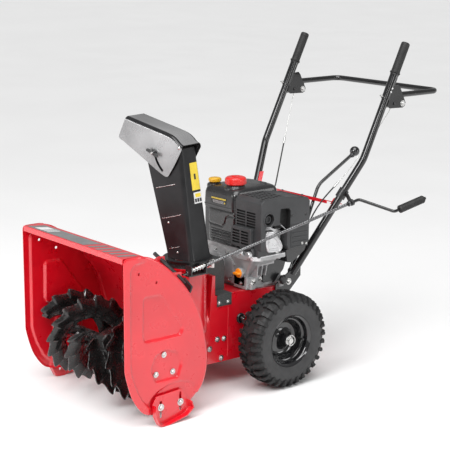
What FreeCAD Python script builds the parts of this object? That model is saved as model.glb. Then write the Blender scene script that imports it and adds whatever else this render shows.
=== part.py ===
import FreeCAD, Part
import os
import math
import Sketcher
from FreeCAD import Vector as V, Rotation, Placement

# Two-stage walk-behind snow blower. Millimetres, +Z up, the auger faces -Y, the operator stands at +Y and +X is the operator's left.
# Working coordinates have the wheel axle at Y = 0 over the machine's centre plane; every piece is then moved by (shift_x, shift_y)
# so that the finished machine is centred over the origin on the ground.
doc = FreeCAD.newDocument("snow_blower")
sheet = doc.addObject("Spreadsheet::Sheet", "Dimensions")
CELLS = [
    ("shift_x", -60.8, "sideways shift to the centre of the machine's box"),
    ("shift_y", -28.15, "lengthwise shift to the centre of the machine's box"),
    ("intake_width", 575, "clearing width over the side plates"),
    ("plate_thick", 3, "housing sheet thickness"),
    ("top_height", 557, "height of the housing's top sheet"),
    ("front_edge", -684, "front edge of the housing"),
    ("auger_y", -529, "auger axis, lengthwise"),
    ("auger_z", 183, "auger axis height"),
    ("auger_radius", 146, "auger outer radius"),
    ("ribbon_width", 82, "auger ribbon width"),
    ("drum_radius", 140, "impeller housing outer radius"),
    ("drum_z", 200, "impeller axis height"),
    ("chute_x", 92, "discharge axis, sideways"),
    ("chute_y", -286, "discharge axis, lengthwise"),
    ("neck_radius", 64, "discharge neck outer radius"),
    ("ring_z", 443, "underside of the turning ring"),
    ("ring_radius", 78, "turning ring outer radius"),
    ("chute_heading", 11.5, "chute direction behind straight sideways, degrees"),
    ("frame_half", 135, "half width of the drive frame"),
    ("wheel_radius", 165, "tyre outer radius, 13 x 4.10-6"),
    ("tyre_width", 102, "tyre width"),
    ("wheel_x", 248, "tyre centre plane"),
    ("rim_radius", 88, "rim flange radius"),
    ("axle_z", 165, "axle height"),
    ("axle_radius", 9.5, "axle radius"),
    ("tube_radius", 13, "handle tube radius"),
    ("crank_y", 30, "engine centre, lengthwise"),
    ("engine_z", 392, "engine crankshaft height"),
    ("bail_radius", 10, "bail bar radius"),
    ("rod_radius", 5, "crank rod radius"),
    ("cutter_hole", 4.5, "drift-cutter hole radius"),
]
for i, (alias, value, what) in enumerate(CELLS, start=1):
    sheet.set("A%d" % i, what)
    sheet.set("B%d" % i, str(value))
    sheet.setAlias("B%d" % i, alias)
doc.recompute()
D = {alias: float(sheet.get(alias)) for alias, _, _ in CELLS}
W2 = D["intake_width"] / 2
TH = D["plate_thick"]
AY, AZ = D["auger_y"], D["auger_z"]
CX, CY = D["chute_x"], D["chute_y"]
NODES = []


def e(obj, **kw):
    for prop, expr in kw.items():
        obj.setExpression(prop.replace("__", "."), expr.replace("#", "Dimensions."))
    return obj


def node(obj, name):
    """Marks a finished sub-part: its label is its name and its place carries the shift to the machine's origin."""
    obj.Label = name
    base = obj.Placement.Base
    obj.setExpression("Placement.Base.x", "Dimensions.shift_x + (%.6f)" % base.x)
    obj.setExpression("Placement.Base.y", "Dimensions.shift_y + (%.6f)" % base.y)
    NODES.append(obj)
    return obj


def feature(name, shape):
    """A sub-part whose shape is worked out here from the sheet's sizes."""
    o = doc.addObject("Part::Feature", name)
    where = shape.Placement
    o.Shape = shape
    o.Placement = where
    return node(o, name)


# ---------- sketch helpers ----------
def seg(pts, close=True):
    """Line segments through 2-D points."""
    n = len(pts)
    return [Part.LineSegment(V(*pts[i], 0), V(*pts[(i + 1) % n], 0)) for i in range(n if close else n - 1)]


def arcs(pts):
    """A smooth run of three-point arcs through an odd number of 2-D points."""
    return [Part.Arc(V(*pts[i], 0), V(*pts[i + 1], 0), V(*pts[i + 2], 0)) for i in range(0, len(pts) - 2, 2)]


def dense(pts, n):
    """n points (odd) evenly along a smooth curve through pts."""
    c = Part.BSplineCurve()
    c.interpolate([V(p[0], p[1], 0) for p in pts])
    L = c.length()
    return [(q.x, q.y) for q in [c.value(c.parameterAtDistance(L * i / (n - 1), c.FirstParameter)) for i in range(n)]]


def offset(pts, d):
    """Points moved to the left of their direction of travel by d."""
    out = []
    for i, p in enumerate(pts):
        a, b = pts[max(i - 1, 0)], pts[min(i + 1, len(pts) - 1)]
        tx, ty = b[0] - a[0], b[1] - a[1]
        k = math.hypot(tx, ty)
        out.append((p[0] - ty / k * d, p[1] + tx / k * d))
    return out


def new_body(name):
    return doc.addObject("PartDesign::Body", name + "_body")


def plane(body, role):
    return [f for f in body.Origin.OriginFeatures if f.Role == role][0]


def sketch(body, role, geometry, lift=0, lift_expr=None):
    s = body.newObject("Sketcher::SketchObject", body.Name + "_sketch")
    s.AttachmentSupport = [(plane(body, role), "")]
    s.MapMode = "FlatFace"
    s.AttachmentOffset = Placement(V(0, 0, lift), Rotation())
    for g in geometry:
        s.addGeometry(g, False)
    if lift_expr:
        e(s, AttachmentOffset__Base__z=lift_expr)
    return s


def circle(x, y, r):
    return Part.Circle(V(x, y, 0), V(0, 0, 1), r)


def pad(body, role, geometry, length, lift=0, lift_expr=None, both=False, flip=False):
    s = sketch(body, role, geometry, lift, lift_expr)
    p = body.newObject("PartDesign::Pad", body.Name + "_pad")
    p.Profile = s
    if isinstance(length, str):
        e(p, Length=length)
    else:
        p.Length = length
    p.Midplane = both
    p.Reversed = flip
    return p


def pocket(body, role, geometry, length, lift=0, lift_expr=None, both=False, flip=False):
    s = sketch(body, role, geometry, lift, lift_expr)
    p = body.newObject("PartDesign::Pocket", body.Name + "_pocket")
    p.Profile = s
    p.Length = length
    p.Midplane = both
    p.Reversed = flip
    return p


def revolve(name, geometry, role="XZ_Plane", axis="H_Axis"):
    b = new_body(name)
    s = sketch(b, role, geometry)
    r = b.newObject("PartDesign::Revolution", b.Name + "_turned")
    r.Profile = s
    r.ReferenceAxis = (s, [axis])
    r.Angle = 360
    return b


def cyl(r, h, at, axis=(0, 0, 1), r_expr=None):
    c = doc.addObject("Part::Cylinder", "cyl")
    c.Radius = r
    c.Height = h
    c.Placement = Placement(V(*at), Rotation(V(0, 0, 1), V(*axis)))
    if r_expr:
        e(c, Radius=r_expr)
    return c


def box(lx, ly, lz, at):
    b = doc.addObject("Part::Box", "block")
    b.Length, b.Width, b.Height = lx, ly, lz
    b.Placement = Placement(V(*at), Rotation())
    return b


def fuse(*objs):
    f = doc.addObject("Part::MultiFuse", "joined")
    f.Shapes = list(objs)
    f.Refine = True
    return f


def cut(base, *tools):
    tool = tools[0] if len(tools) == 1 else fuse(*tools)
    c = doc.addObject("Part::Cut", "cut")
    c.Base, c.Tool = base, tool
    c.Refine = True
    return c


def group(objs):
    """Separate identical solids kept as one node."""
    g = doc.addObject("Part::Compound", "set")
    g.Links = list(objs)
    return g


# ---------- wire and tube helpers (3-D) ----------
def path(pts, radii):
    """Straight runs joined by tangent arcs."""
    P = [V(*p) for p in pts]
    if not isinstance(radii, (list, tuple)):
        radii = [radii] * (len(P) - 2)
    edges, start = [], P[0]
    for i in range(1, len(P) - 1):
        a, b = (P[i - 1] - P[i]).normalize(), (P[i + 1] - P[i]).normalize()
        turn = math.pi - a.getAngle(b)
        r = radii[i - 1]
        t = r * math.tan(turn / 2)
        if t < 0.05:
            continue
        p1, p2 = P[i] + a * t, P[i] + b * t
        bis = (a + b).normalize()
        mid = P[i] + bis * (r / math.cos(turn / 2) - r)
        if (p1 - start).Length > 1e-4:
            edges.append(Part.LineSegment(start, p1).toShape())
        edges.append(Part.Arc(p1, mid, p2).toShape())
        start = p2
    edges.append(Part.LineSegment(start, P[-1]).toShape())
    return Part.Wire(edges)


def tube(pts, radii, r, inner=0):
    w = path(pts, radii)
    d = (V(*pts[1]) - V(*pts[0])).normalize()
    def solid(rr):
        c = Part.Wire([Part.Circle(V(*pts[0]), d, rr).toShape()])
        s = w.makePipeShell([c], True, True)
        want = math.pi * rr * rr * w.Length
        if abs(s.Volume - want) > 0.02 * want:
            print("tube volume", round(s.Volume), round(want))
        return s
    return solid(r).cut(solid(inner)) if inner else solid(r)


def rod(a, b, r):
    a, b = V(*a), V(*b)
    return Part.makeCylinder(r, (b - a).Length, a, b - a)


def prism(pts, vec):
    """A closed 3-D outline swept along a vector."""
    return Part.Face(Part.makePolygon([V(*p) for p in pts] + [V(*pts[0])])).extrude(V(*vec))


def shell_prism(pts2, x0, x1):
    """A closed (Y, Z) outline swept from x0 to x1."""
    return prism([(x0, y, z) for y, z in pts2], (x1 - x0, 0, 0))


def hexbolt(at, axis, r=6.5, head=5, shank_r=4, shank=0.0):
    a = V(*axis).normalize()
    p = V(*at)
    side = V(0, 0, 1) if abs(a.z) < 0.9 else V(1, 0, 0)
    u = a.cross(side).normalize()
    w = a.cross(u)
    pts = [p + u * (r * math.cos(k * math.pi / 3)) + w * (r * math.sin(k * math.pi / 3)) for k in range(6)]
    s = Part.Face(Part.makePolygon(pts + [pts[0]])).extrude(a * head)
    if shank:
        s = s.fuse(Part.makeCylinder(shank_r, shank, p, a * -1))
    return s


# ================= auger housing =================
ARC = [(-423, 50), (-383, 87), (-364, 130), (-358, 175), (-361, 217), (-377, 297), (-405, 368), (-448, 435), (-508, 497), (-569, 541), (-618, 557)]
FRONT = [(-684, 199), (-674, 158), (-657, 109), (-631, 68), (-608, 47), (-573, 36)]
arc_out = dense(ARC, 25)
front_out = dense(FRONT, 9)


def side_plate(name, sgn):
    b = new_body(name)
    outline = arcs(arc_out) + [Part.LineSegment(V(-618, 557, 0), V(-684, 557, 0)), Part.LineSegment(V(-684, 557, 0), V(-684, 199, 0))]
    outline += arcs(front_out) + [Part.LineSegment(V(-573, 36, 0), V(-423, 50, 0))]
    lift = "#intake_width / 2 - #plate_thick" if sgn > 0 else "-#intake_width / 2"
    holes = [circle(-625, 501, D["cutter_hole"]), circle(-559, 464, D["cutter_hole"])]
    pad(b, "YZ_Plane", outline + holes, "#plate_thick", W2 - TH if sgn > 0 else -W2, lift)
    # the upper panel and the bearing panel are pressed 5 mm into the plate, the lower arch stands out of it by 3 mm
    out = W2 if sgn > 0 else -W2 - 3
    inn = W2 - TH if sgn > 0 else -W2
    trap = [(-610, 425), (-540, 424), (-451, 298), (-469, 277), (-606, 277), (-613, 298)]
    trap_in = [(-606, 421), (-542, 420), (-456, 298), (-471, 281), (-604, 281), (-609, 298)]
    arch = [(-590, 84), (-463, 128), (-411, 96), (-424, 76), (-575, 68)]
    arch_in = [(-584, 83), (-464, 122), (-418, 95), (-426, 80), (-573, 72)]
    dee = [(-580, 183), (-566, 139), (-476, 139), (-458, 183), (-478, 226), (-529, 239), (-562, 226)]
    dee_in = [(-574, 183), (-563, 144), (-479, 144), (-463, 183), (-481, 221), (-529, 233), (-559, 221)]
    for ring, inner in ((trap, trap_in), (dee, dee_in)):
        pad(b, "YZ_Plane", seg(ring), 5, W2 - TH - 5 if sgn > 0 else -W2 + TH)
        pocket(b, "YZ_Plane", seg(inner), 5, sgn * W2, flip=sgn < 0)
    pad(b, "YZ_Plane", seg(arch), 3, out)
    pocket(b, "YZ_Plane", seg(arch_in), 3, inn if sgn > 0 else inn + TH, flip=sgn > 0)
    return node(b, name)


side_plate("side_plate_left", 1)
side_plate("side_plate_right", -1)

# the wrapped back and top sheet between the side plates, open where the impeller housing joins it
o5 = offset(arc_out, 6)
o8 = offset(arc_out, 6 + TH)
o5 = [p for p in o5 if p[1] < 540]
o8 = [p for p in o8 if p[1] < 536]
if len(o5) % 2 == 0:
    o5 = o5[1:]
if len(o8) % 2 == 0:
    o8 = o8[1:]
back = new_body("auger_housing")
geo = arcs(o5) + seg([o5[-1], (-612, 557), (-684, 557), (-684, 540), (-681, 540), (-681, 554), (-614, 554), o8[-1]], close=False)
geo += [Part.Arc(V(*o8[i], 0), V(*o8[i - 1], 0), V(*o8[i - 2], 0)) for i in range(len(o8) - 1, 1, -2)]
geo += [Part.LineSegment(V(*o8[0], 0), V(*o5[0], 0))]
pad(back, "YZ_Plane", geo, "#intake_width - 2 * #plate_thick", both=True)
mouth = cyl(D["drum_radius"] - 4, 200, (0, -470, D["drum_z"]), (0, 1, 0), "#drum_radius - 4")
ears = []
for x, out in ((98, ((-484, 458), (-456, 425), (-388, 452), (-388, 484), (-412, 486))), (188, ((-480, 452), (-451, 417), (-388, 418), (-388, 450), (-412, 452)))):
    eb = new_body("tool_ear_%d" % x)
    pad(eb, "YZ_Plane", seg(list(out)), 3, x)
    ears.append(eb)
tool_way = cyl(6.9, 400, (62 - 0.933 * 60, -400, 487 + 0.36 * 60), (0.933, 0, -0.36))
node(cut(fuse(back, *ears), mouth, tool_way), "auger_housing")

# the impeller housing: a drum cut to the back sheet in front and to the sloping frame face behind, with the discharge neck on its left
drum_out = Part.makeCylinder(D["drum_radius"], 300, V(0, -460, D["drum_z"]), V(0, 1, 0))
drum_in = Part.makeCylinder(D["drum_radius"] - 3, 300, V(0, -461, D["drum_z"]), V(0, 1, 0))
neck_out = Part.makeCylinder(D["neck_radius"], 230, V(CX, CY, 210)).fuse(Part.makeCylinder(D["ring_radius"] - 1, 4, V(CX, CY, 436)))
neck_in = Part.makeCylinder(D["neck_radius"] - 3, 220, V(CX, CY, 235))
FS = (-215.0, 394.0, -237.0, 89.0)  # the frame's front face line (Y, Z) top and bottom


def frame_y(z, d=0.0):
    k = (z - FS[3]) / (FS[1] - FS[3])
    return FS[2] + (FS[0] - FS[2]) * k + d


behind = shell_prism([(frame_y(0, -0.3), 0), (frame_y(600, -0.3), 600), (100, 600), (100, 0)], -400, 400)
rear_wall = shell_prism([(frame_y(0, -3.3), 0), (frame_y(600, -3.3), 600), (frame_y(600, -0.3), 600), (frame_y(0, -0.3), 0)], -400, 400)
edge = offset(arc_out, 5.2)
edge = [p for p in edge if p[1] < 540]
ahead = shell_prism([(-900, 0), (edge[0][0] - 30, 0)] + edge + [(-900, edge[-1][1])], -400, 400)
rear_disc = rear_wall.common(Part.makeCylinder(D["drum_radius"], 300, V(0, -460, D["drum_z"]), V(0, 1, 0)))
rear_disc = rear_disc.cut(Part.makeCylinder(14, 100, V(0, -280, D["drum_z"]), V(0, 1, 0)))
drum = drum_out.fuse(neck_out).cut(drum_in).cut(neck_in.cut(drum_out.cut(drum_in)).fuse(neck_in)).cut(ahead).cut(behind)
drum = drum.fuse(rear_disc).removeSplitter()
feature("impeller_housing", drum.Solids[0] if len(drum.Solids) == 1 else max(drum.Solids, key=lambda q: q.Volume))

# scraper bar along the lower back edge
sb = new_body("scraper_bar")
pad(sb, "YZ_Plane", seg([(-434, 14), (-428, 14), (-419, 40), (-424, 48), (-430, 44)]), "#intake_width - 2 * #plate_thick - 1", both=True)
node(sb, "scraper_bar")


def skid(name, sgn):
    x0 = W2 if sgn > 0 else -W2
    b = new_body(name)
    prof = [(-566, 97), (-467, 102), (-440, 60), (-431, 36), (-458, 15), (-530, 0), (-552, 0), (-566, 4), (-580, 33), (-583, 73)]
    # clear of the pressed arch: the shoe's web stands 4 mm off the plate
    web = x0 + 4 if sgn > 0 else x0 - 7
    pad(b, "YZ_Plane", seg(prof), 3, web)
    # runner turned outwards along the bottom, and a stiffening lip along the top
    run = [(-583, 73), (-580, 33), (-566, 4), (-552, 0), (-530, 0), (-458, 15), (-431, 36), (-440, 60), (-443, 58), (-435, 37), (-460, 18), (-530, 3), (-552, 3), (-564, 7), (-577, 34), (-580, 72)]
    pad(b, "YZ_Plane", seg(run), 22, x0 + 4 if sgn > 0 else x0 - 26)
    for yc, za, zb in ((-550, 22, 79), (-473, 32, 94)):
        slot = [Part.LineSegment(V(yc - 4.5, za + 4.5, 0), V(yc - 4.5, zb - 4.5, 0)), Part.Arc(V(yc - 4.5, zb - 4.5, 0), V(yc, zb, 0), V(yc + 4.5, zb - 4.5, 0)),
                Part.LineSegment(V(yc + 4.5, zb - 4.5, 0), V(yc + 4.5, za + 4.5, 0)), Part.Arc(V(yc + 4.5, za + 4.5, 0), V(yc, za, 0), V(yc - 4.5, za + 4.5, 0))]
        pocket(b, "YZ_Plane", slot, 12, web + 1.5, both=True)
    return node(b, name)


skid("skid_shoe_left", 1)
skid("skid_shoe_right", -1)

# zinc bolts: skid shoes, auger bearings, frame
bolts = []
for s in (1, -1):
    xp = s * W2
    for y, z in ((-550, 58), (-473, 59)):
        bolts.append(hexbolt((xp + s * 7.3, y, z), (s, 0, 0), 9, 6, 3.9, 7.0))
    for y, z in ((-528, 224), (-559.5, 165), (-494, 162)):
        bolts.append(hexbolt((xp - s * 4.7, y, z), (s, 0, 0), 7.5, 5, 3, 0))
    for y, z in ((-193, 170), (-164, 168), (-176, 101), (-226, 142)):
        bolts.append(hexbolt((s * (D["frame_half"] + 0.3), y, z), (s, 0, 0), 7.5, 5, 3, 0))
feature("housing_bolts", Part.makeCompound(bolts))

# auger bearings: flanged bushes on the inner face of the pressed recess
bear = []
for s in (1, -1):
    a = V(-s, 0, 0)
    xb = s * (W2 - TH - 5.3)
    f = Part.makeCylinder(22, 3.6, V(xb, AY, AZ), a)
    for y, z in ((-528, 224), (-559.5, 165), (-494, 162)):
        f = f.fuse(Part.makeCylinder(11, 3.6, V(xb, y, z), a))
        q = V(xb, AY, AZ)
        t = V(xb, y, z)
        n = (t - q).cross(a).normalize() * 10
        f = f.fuse(prism([q + n, t + n, t - n, q - n], (-s * 3.6, 0, 0)))
    f = f.fuse(Part.makeCylinder(17, 9, V(xb, AY, AZ), a))
    f = f.cut(Part.makeCylinder(9.9, 60, V(s * (W2 - 40), AY, AZ), V(s, 0, 0)))
    bear.append(f.removeSplitter())
feature("auger_bearings", Part.makeCompound(bear))

# clean-out tool held behind the housing in two brackets welded to the back sheet
feature("clean_out_tool", rod((62, -400, 487), (232, -400, 421.4), 6.5).fuse(prism([(222, -403, 440), (262, -403, 418), (252, -403, 396), (212, -403, 414)], (0, 6, 0))).removeSplitter())

# ================= auger =================
ash = revolve("auger_shaft", seg([(-(W2 - 10), 0), (-(W2 - 10), 9.5), (-(W2 - 22), 9.5), (-(W2 - 22), 14), (-36, 14), (-36, 9.5), (36, 9.5), (36, 14), (W2 - 22, 14), (W2 - 22, 9.5), (W2 - 10, 9.5), (W2 - 10, 0)]))
ash.Placement = Placement(V(0, AY, AZ), Rotation())
node(ash, "auger_shaft")


def ribbon(x0, x1, turns, phase, r_out, width, thick):
    """A toothed spiral ribbon about X, as a chain of overlapping helical blocks, from x0 to x1."""
    n = 26
    r_in = r_out - width
    sections = []
    for i in range(n + 1):
        k = i / n
        a = phase + 2 * math.pi * turns * k
        x = x0 + (x1 - x0) * k
        c, s = math.cos(a), math.sin(a)
        q = [V(x - thick / 2, r * c, r * s) for r in (r_in, r_out)] + [V(x + thick / 2, r * c, r * s) for r in (r_out, r_in)]
        sections.append(q)
    faces = []
    for i in range(n):
        A, B = sections[i], sections[i + 1]
        for j in range(4):
            a, b, c, d = A[j], A[(j + 1) % 4], B[(j + 1) % 4], B[j]
            faces.append(Part.Face(Part.makePolygon([a, b, c, a])))
            faces.append(Part.Face(Part.makePolygon([a, c, d, a])))
    faces.append(Part.Face(Part.makePolygon(sections[0] + [sections[0][0]])))
    faces.append(Part.Face(Part.makePolygon(sections[-1] + [sections[-1][0]])))
    sh = Part.Shell(faces)
    sh.sewShape()
    s = Part.Solid(sh)
    if s.Volume < 0:
        s.reverse()
    return s


def flight(name, sgn):
    r = D["auger_radius"]
    parts = []
    for ph in (0.0, math.pi):
        rib = ribbon(sgn * 44, sgn * (W2 - 18), 1.0, ph + 2.65, r - 8, D["ribbon_width"] - 8, 5)
        parts.append(rib)
        n = 17
        for i in range(n):
            k = (i + 0.5) / n
            a = ph + 2.65 + 2 * math.pi * k
            x = sgn * (44 + (W2 - 62) * k)
            u = V(0, math.cos(a), math.sin(a))
            t = V(0, -math.sin(a), math.cos(a))
            p = V(x - 2.5, 0, 0)
            tri = [p + u * (r - 14) - t * 13, p + u * r - t * 2, p + u * r + t * 8, p + u * (r - 14) + t * 13]
            parts.append(Part.Face(Part.makePolygon(tri + [tri[0]])).extrude(V(5, 0, 0)))
        for k in (0.12, 0.5, 0.88):
            a = ph + 2.65 + 2 * math.pi * k
            x = sgn * (44 + (W2 - 62) * k)
            u = V(0, math.cos(a), math.sin(a))
            t = V(0, -math.sin(a), math.cos(a)) * 15
            p = V(x - 3, 0, 0)
            arm = [p + u * 14 - t, p + u * (r - 20) - t, p + u * (r - 20) + t, p + u * 14 + t]
            parts.append(Part.Face(Part.makePolygon(arm + [arm[0]])).extrude(V(6, 0, 0)))
    hub = Part.makeCylinder(20, W2 - 62, V(sgn * 38, 0, 0), V(sgn, 0, 0))
    f = hub.fuse(parts).cut(Part.makeCylinder(14.0, 2 * W2, V(sgn * 20, 0, 0), V(sgn, 0, 0)))
    f = f.removeSplitter()
    f.translate(V(0, AY, AZ))
    return feature(name, max(f.Solids, key=lambda q: q.Volume) if len(f.Solids) > 1 else f)


flight("auger_flight_left", 1)
flight("auger_flight_right", -1)

# worm gearbox between the flights, with the boss that takes the impeller shaft
gb = revolve("auger_gearbox", seg([(-34, 9.8), (-34, 26), (-24, 30), (-20, 52), (-14, 58), (14, 58), (20, 52), (24, 30), (34, 26), (34, 9.8)]))
gb.Placement = Placement(V(0, AY, AZ), Rotation())
boss = cyl(24, 110, (0, AY + 40, AZ + 17), (0, 1, 0))
bore = cyl(10.3, 200, (0, AY + 52, AZ + 17), (0, 1, 0))
bore2 = cyl(9.8, 70, (-35, AY, AZ), (1, 0, 0))
node(cut(fuse(gb, boss), bore, bore2), "auger_gearbox")

# ================= impeller =================
ish = cyl(10, 311, (0, AY + 56, D["drum_z"]), (0, 1, 0))
node(ish, "impeller_shaft")
imp = [Part.makeCylinder(22, 78, V(0, -338, D["drum_z"]), V(0, 1, 0)), Part.makeCylinder(120, 3, V(0, -262, D["drum_z"]), V(0, 1, 0))]
for k in range(4):
    a = k * math.pi / 2 + 0.35
    u = V(math.cos(a), 0, math.sin(a))
    t = V(-math.sin(a), 0, math.cos(a))
    p = V(0, -340, D["drum_z"])
    blade = [p + u * 18 - t * 2, p + u * 128 - t * 2, p + u * 128 + t * 2, p + u * 18 + t * 2]
    imp.append(Part.Face(Part.makePolygon(blade + [blade[0]])).extrude(V(0, 80, 0)))
    tip = [p + u * 110 - t * 2, p + u * 128 - t * 2, p + u * 126 + t * 16, p + u * 123 + t * 16, p + u * 124 + t * 2, p + u * 110 + t * 2]
    imp.append(Part.Face(Part.makePolygon(tip + [tip[0]])).extrude(V(0, 80, 0)))
im = imp[0].fuse(imp[1:]).cut(Part.makeCylinder(10, 400, V(0, -450, D["drum_z"]), V(0, 1, 0))).removeSplitter()
feature("impeller", im)

# ================= chute =================
ring = new_body("chute_ring")
pad(ring, "XY_Plane", [circle(0, 0, D["ring_radius"]), circle(0, 0, D["neck_radius"] - 3)], 5, D["ring_z"], "#ring_z")
ring.Placement = Placement(V(CX, CY, 0), Rotation())
holes = [cyl(2.6, 12, (CX + 73 * math.cos(a), CY + 73 * math.sin(a), D["ring_z"] - 3)) for a in [k * math.pi / 16 for k in range(32)]]
collar = cut(cyl(D["neck_radius"] + 4, 17, (CX, CY, D["ring_z"] + 4.9)), cyl(D["neck_radius"] - 3, 40, (CX, CY, D["ring_z"] - 5)))
node(cut(fuse(ring, collar), *holes), "chute_ring")

BETA = math.radians(D["chute_heading"])
DU = V(-math.cos(BETA), -math.sin(BETA), 0)
DW = V(math.sin(BETA), -math.cos(BETA), 0)


def cp(u, w, z):
    return V(CX, CY, 0) + DU * u + DW * w + V(0, 0, z)


def u_section(u0, u1, w, t, r, z0, z1, slope):
    """A thin U-shaped wire, open at u1: corners rounded by r; z runs from z0 at the back to z1 at the open edge."""
    pts = []
    def zz(u):
        return z0 + (z1 - z0) * (u - u0) / (u1 - u0)
    def side(off, rr):
        q = [(u1, w - off)]
        for k in range(7):
            a = k * math.pi / 12
            q.append((u0 + off + rr - rr * math.sin(a), w - off - rr + rr * math.cos(a)))
        return q
    outer = side(0, r)
    inner = side(t, max(r - t, 1))
    loop = outer + [(u, -v) for u, v in reversed(outer)] + [(u, -v) for u, v in inner] + [(u, v) for u, v in reversed(inner)]
    return [cp(u, v, zz(u)) for u, v in loop]


def loft2(A, B):
    faces, n = [], len(A)
    for i in range(n):
        a, b, c, d = A[i], A[(i + 1) % n], B[(i + 1) % n], B[i]
        faces.append(Part.Face(Part.makePolygon([a, b, c, a])))
        faces.append(Part.Face(Part.makePolygon([a, c, d, a])))
    return faces


def cap(P):
    """Closes a U loop of points with strips, because the slanted cut of a rounded channel isn't flat."""
    n = len(P) // 2
    f = []
    for i in range(n - 1):
        a, b, c, d = P[i], P[i + 1], P[2 * n - 2 - i], P[2 * n - 1 - i]
        f.append(Part.Face(Part.makePolygon([a, b, c, a])))
        f.append(Part.Face(Part.makePolygon([a, c, d, a])))
    return f


def channel(A, B):
    sh = Part.Shell(loft2(A, B) + cap(A) + cap(B))
    sh.sewShape()
    s = Part.Solid(sh)
    if s.Volume < 0:
        s.reverse()
    return s


zb = D["ring_z"] + 22.5
lo = u_section(-60, 38, 52, 2.5, 14, zb, zb, 0)
hi = u_section(-2, 152, 40, 2.5, 12, 829, 815, 0)
body = channel(lo, hi)
floor_ring = Part.makeCylinder(D["ring_radius"] + 4, 3, V(CX, CY, D["ring_z"] + 20)).cut(Part.makeCylinder(D["neck_radius"] - 3, 9, V(CX, CY, D["ring_z"] + 17)))
ch = body.fuse(floor_ring.cut(Part.makeCylinder(D["neck_radius"] + 4.2, 9, V(CX, CY, D["ring_z"] + 17))))
HU, HZC = -5, 835  # hinge line of the deflector at the top of the back wall
for sg in (1, -1):
    ear = prism([cp(u, sg * 37.6, z) for u, z in ((22, 795), (22, 826), (2, 838.5), (-7, 838.8), (-11, 833), (-4, 818), (8, 795))], tuple(DW * (sg * 2.4)))
    ch = ch.fuse([ear, Part.makeCylinder(4, 10.6, cp(HU, sg * 38, HZC), DW * sg)])
feature("chute", max(ch.Solids, key=lambda q: q.Volume) if len(ch.Solids) > 1 else ch)

# deflector: an inverted channel hinged on the chute's cheeks
WD = 48.5


def defl_section(u_top, z_top, u_low, z_low, w, t):
    """Top edge at (u_top, z_top), cheeks down to (u_low, z_low)."""
    loop = []
    for off in (0, t):
        q = [(u_low, w - off, z_low), (u_top, w - off, z_top - off)]
        loop.append(q)
    out, inn = loop
    a = [cp(*out[0]), cp(*out[1]), cp(out[1][0], -out[1][1], out[1][2]), cp(out[0][0], -out[0][1], out[0][2])]
    b = [cp(*inn[0]), cp(*inn[1]), cp(inn[1][0], -inn[1][1], inn[1][2]), cp(inn[0][0], -inn[0][1], inn[0][2])]
    return a + b[::-1]


def strip(sections):
    faces = []
    for A, B in zip(sections, sections[1:]):
        faces += loft2(A, B)
    faces += cap(sections[0]) + cap(sections[-1])
    sh = Part.Shell(faces)
    sh.sewShape()
    s = Part.Solid(sh)
    if s.Volume < 0:
        s.reverse()
    return s


secs = [defl_section(-14, 843, -14, 826, WD, 2.5), defl_section(-2, 848, -2, 806, WD, 2.5), defl_section(30, 871, 30, 762, WD, 2.5), defl_section(60, 879, 60, 742, WD, 2.5), defl_section(227, 916, 262, 845, WD, 2.5)]
dfl = strip(secs)
# adjusting slots, arcs about the hinge line
for sg in (1, -1):
    dfl = dfl.cut(Part.makeCylinder(4.3, 20, cp(HU, sg * (WD - 10), HZC), DW * sg))
    ring_o = Part.makeCylinder(113.6, 20, cp(HU, sg * (WD - 10), HZC), DW * sg).cut(Part.makeCylinder(106.4, 20, cp(HU, sg * (WD - 10), HZC), DW * sg))
    sector = prism([cp(HU, sg * (WD - 12), HZC)] + [cp(HU + 160 * math.cos(math.radians(a)), sg * (WD - 12), HZC + 160 * math.sin(math.radians(a))) for a in (-8, -27, -46)], tuple(DW * (sg * 24)))
    dfl = dfl.cut(ring_o.common(sector))
feature("chute_deflector", max(dfl.Solids, key=lambda q: q.Volume))

# wing knob and its bolt in the near slot, held by the chute's cheek
kb = cp(HU + 110 * math.cos(math.radians(-14)), WD + 0.6, HZC + 110 * math.sin(math.radians(-14)))
knob = Part.makeCylinder(9, 8, kb, DW).fuse(Part.makeCylinder(5, 16, kb, DW))
for s in (1, -1):
    c = kb + DW * 6
    u = DU * 0.8 + V(0, 0, 0.6)
    n = (V(0, 0, 0.8) - DU * 0.6) * 3
    knob = knob.fuse(prism([c + u * (s * 3) - n, c + u * (s * 17) - n * 1.2 + DW * 7, c + u * (s * 17) + n * 1.2 + DW * 7, c + u * (s * 3) + n], tuple(DW * 5)))
knob = knob.fuse(Part.makeCylinder(3, 10, kb - DW * 8.4, DW))
feature("deflector_wing_knob", knob.removeSplitter())

# keepers that hold the turning ring down on the neck flange
keep = []
for ang in (50, 140, 230):
    a = math.radians(ang)
    u = V(math.cos(a), math.sin(a), 0)
    t = V(-math.sin(a), math.cos(a), 0)
    c = V(CX, CY, 0)
    blk = prism([c + u * 78.5 - t * 12 + V(0, 0, 430), c + u * 88 - t * 12 + V(0, 0, 430), c + u * 88 + t * 12 + V(0, 0, 430), c + u * 78.5 + t * 12 + V(0, 0, 430)], (0, 0, 24))
    lip = prism([c + u * 69.5 - t * 10 + V(0, 0, 449), c + u * 80 - t * 10 + V(0, 0, 449), c + u * 80 + t * 10 + V(0, 0, 449), c + u * 69.5 + t * 10 + V(0, 0, 449)], (0, 0, 5))
    foot = prism([c + u * 70 - t * 10 + V(0, 0, 430), c + u * 80 - t * 10 + V(0, 0, 430), c + u * 80 + t * 10 + V(0, 0, 430), c + u * 70 + t * 10 + V(0, 0, 430)], (0, 0, 5.7))
    keep.append(blk.fuse(lip).fuse(foot).removeSplitter())
feature("chute_clamps", Part.makeCompound(keep))

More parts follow.
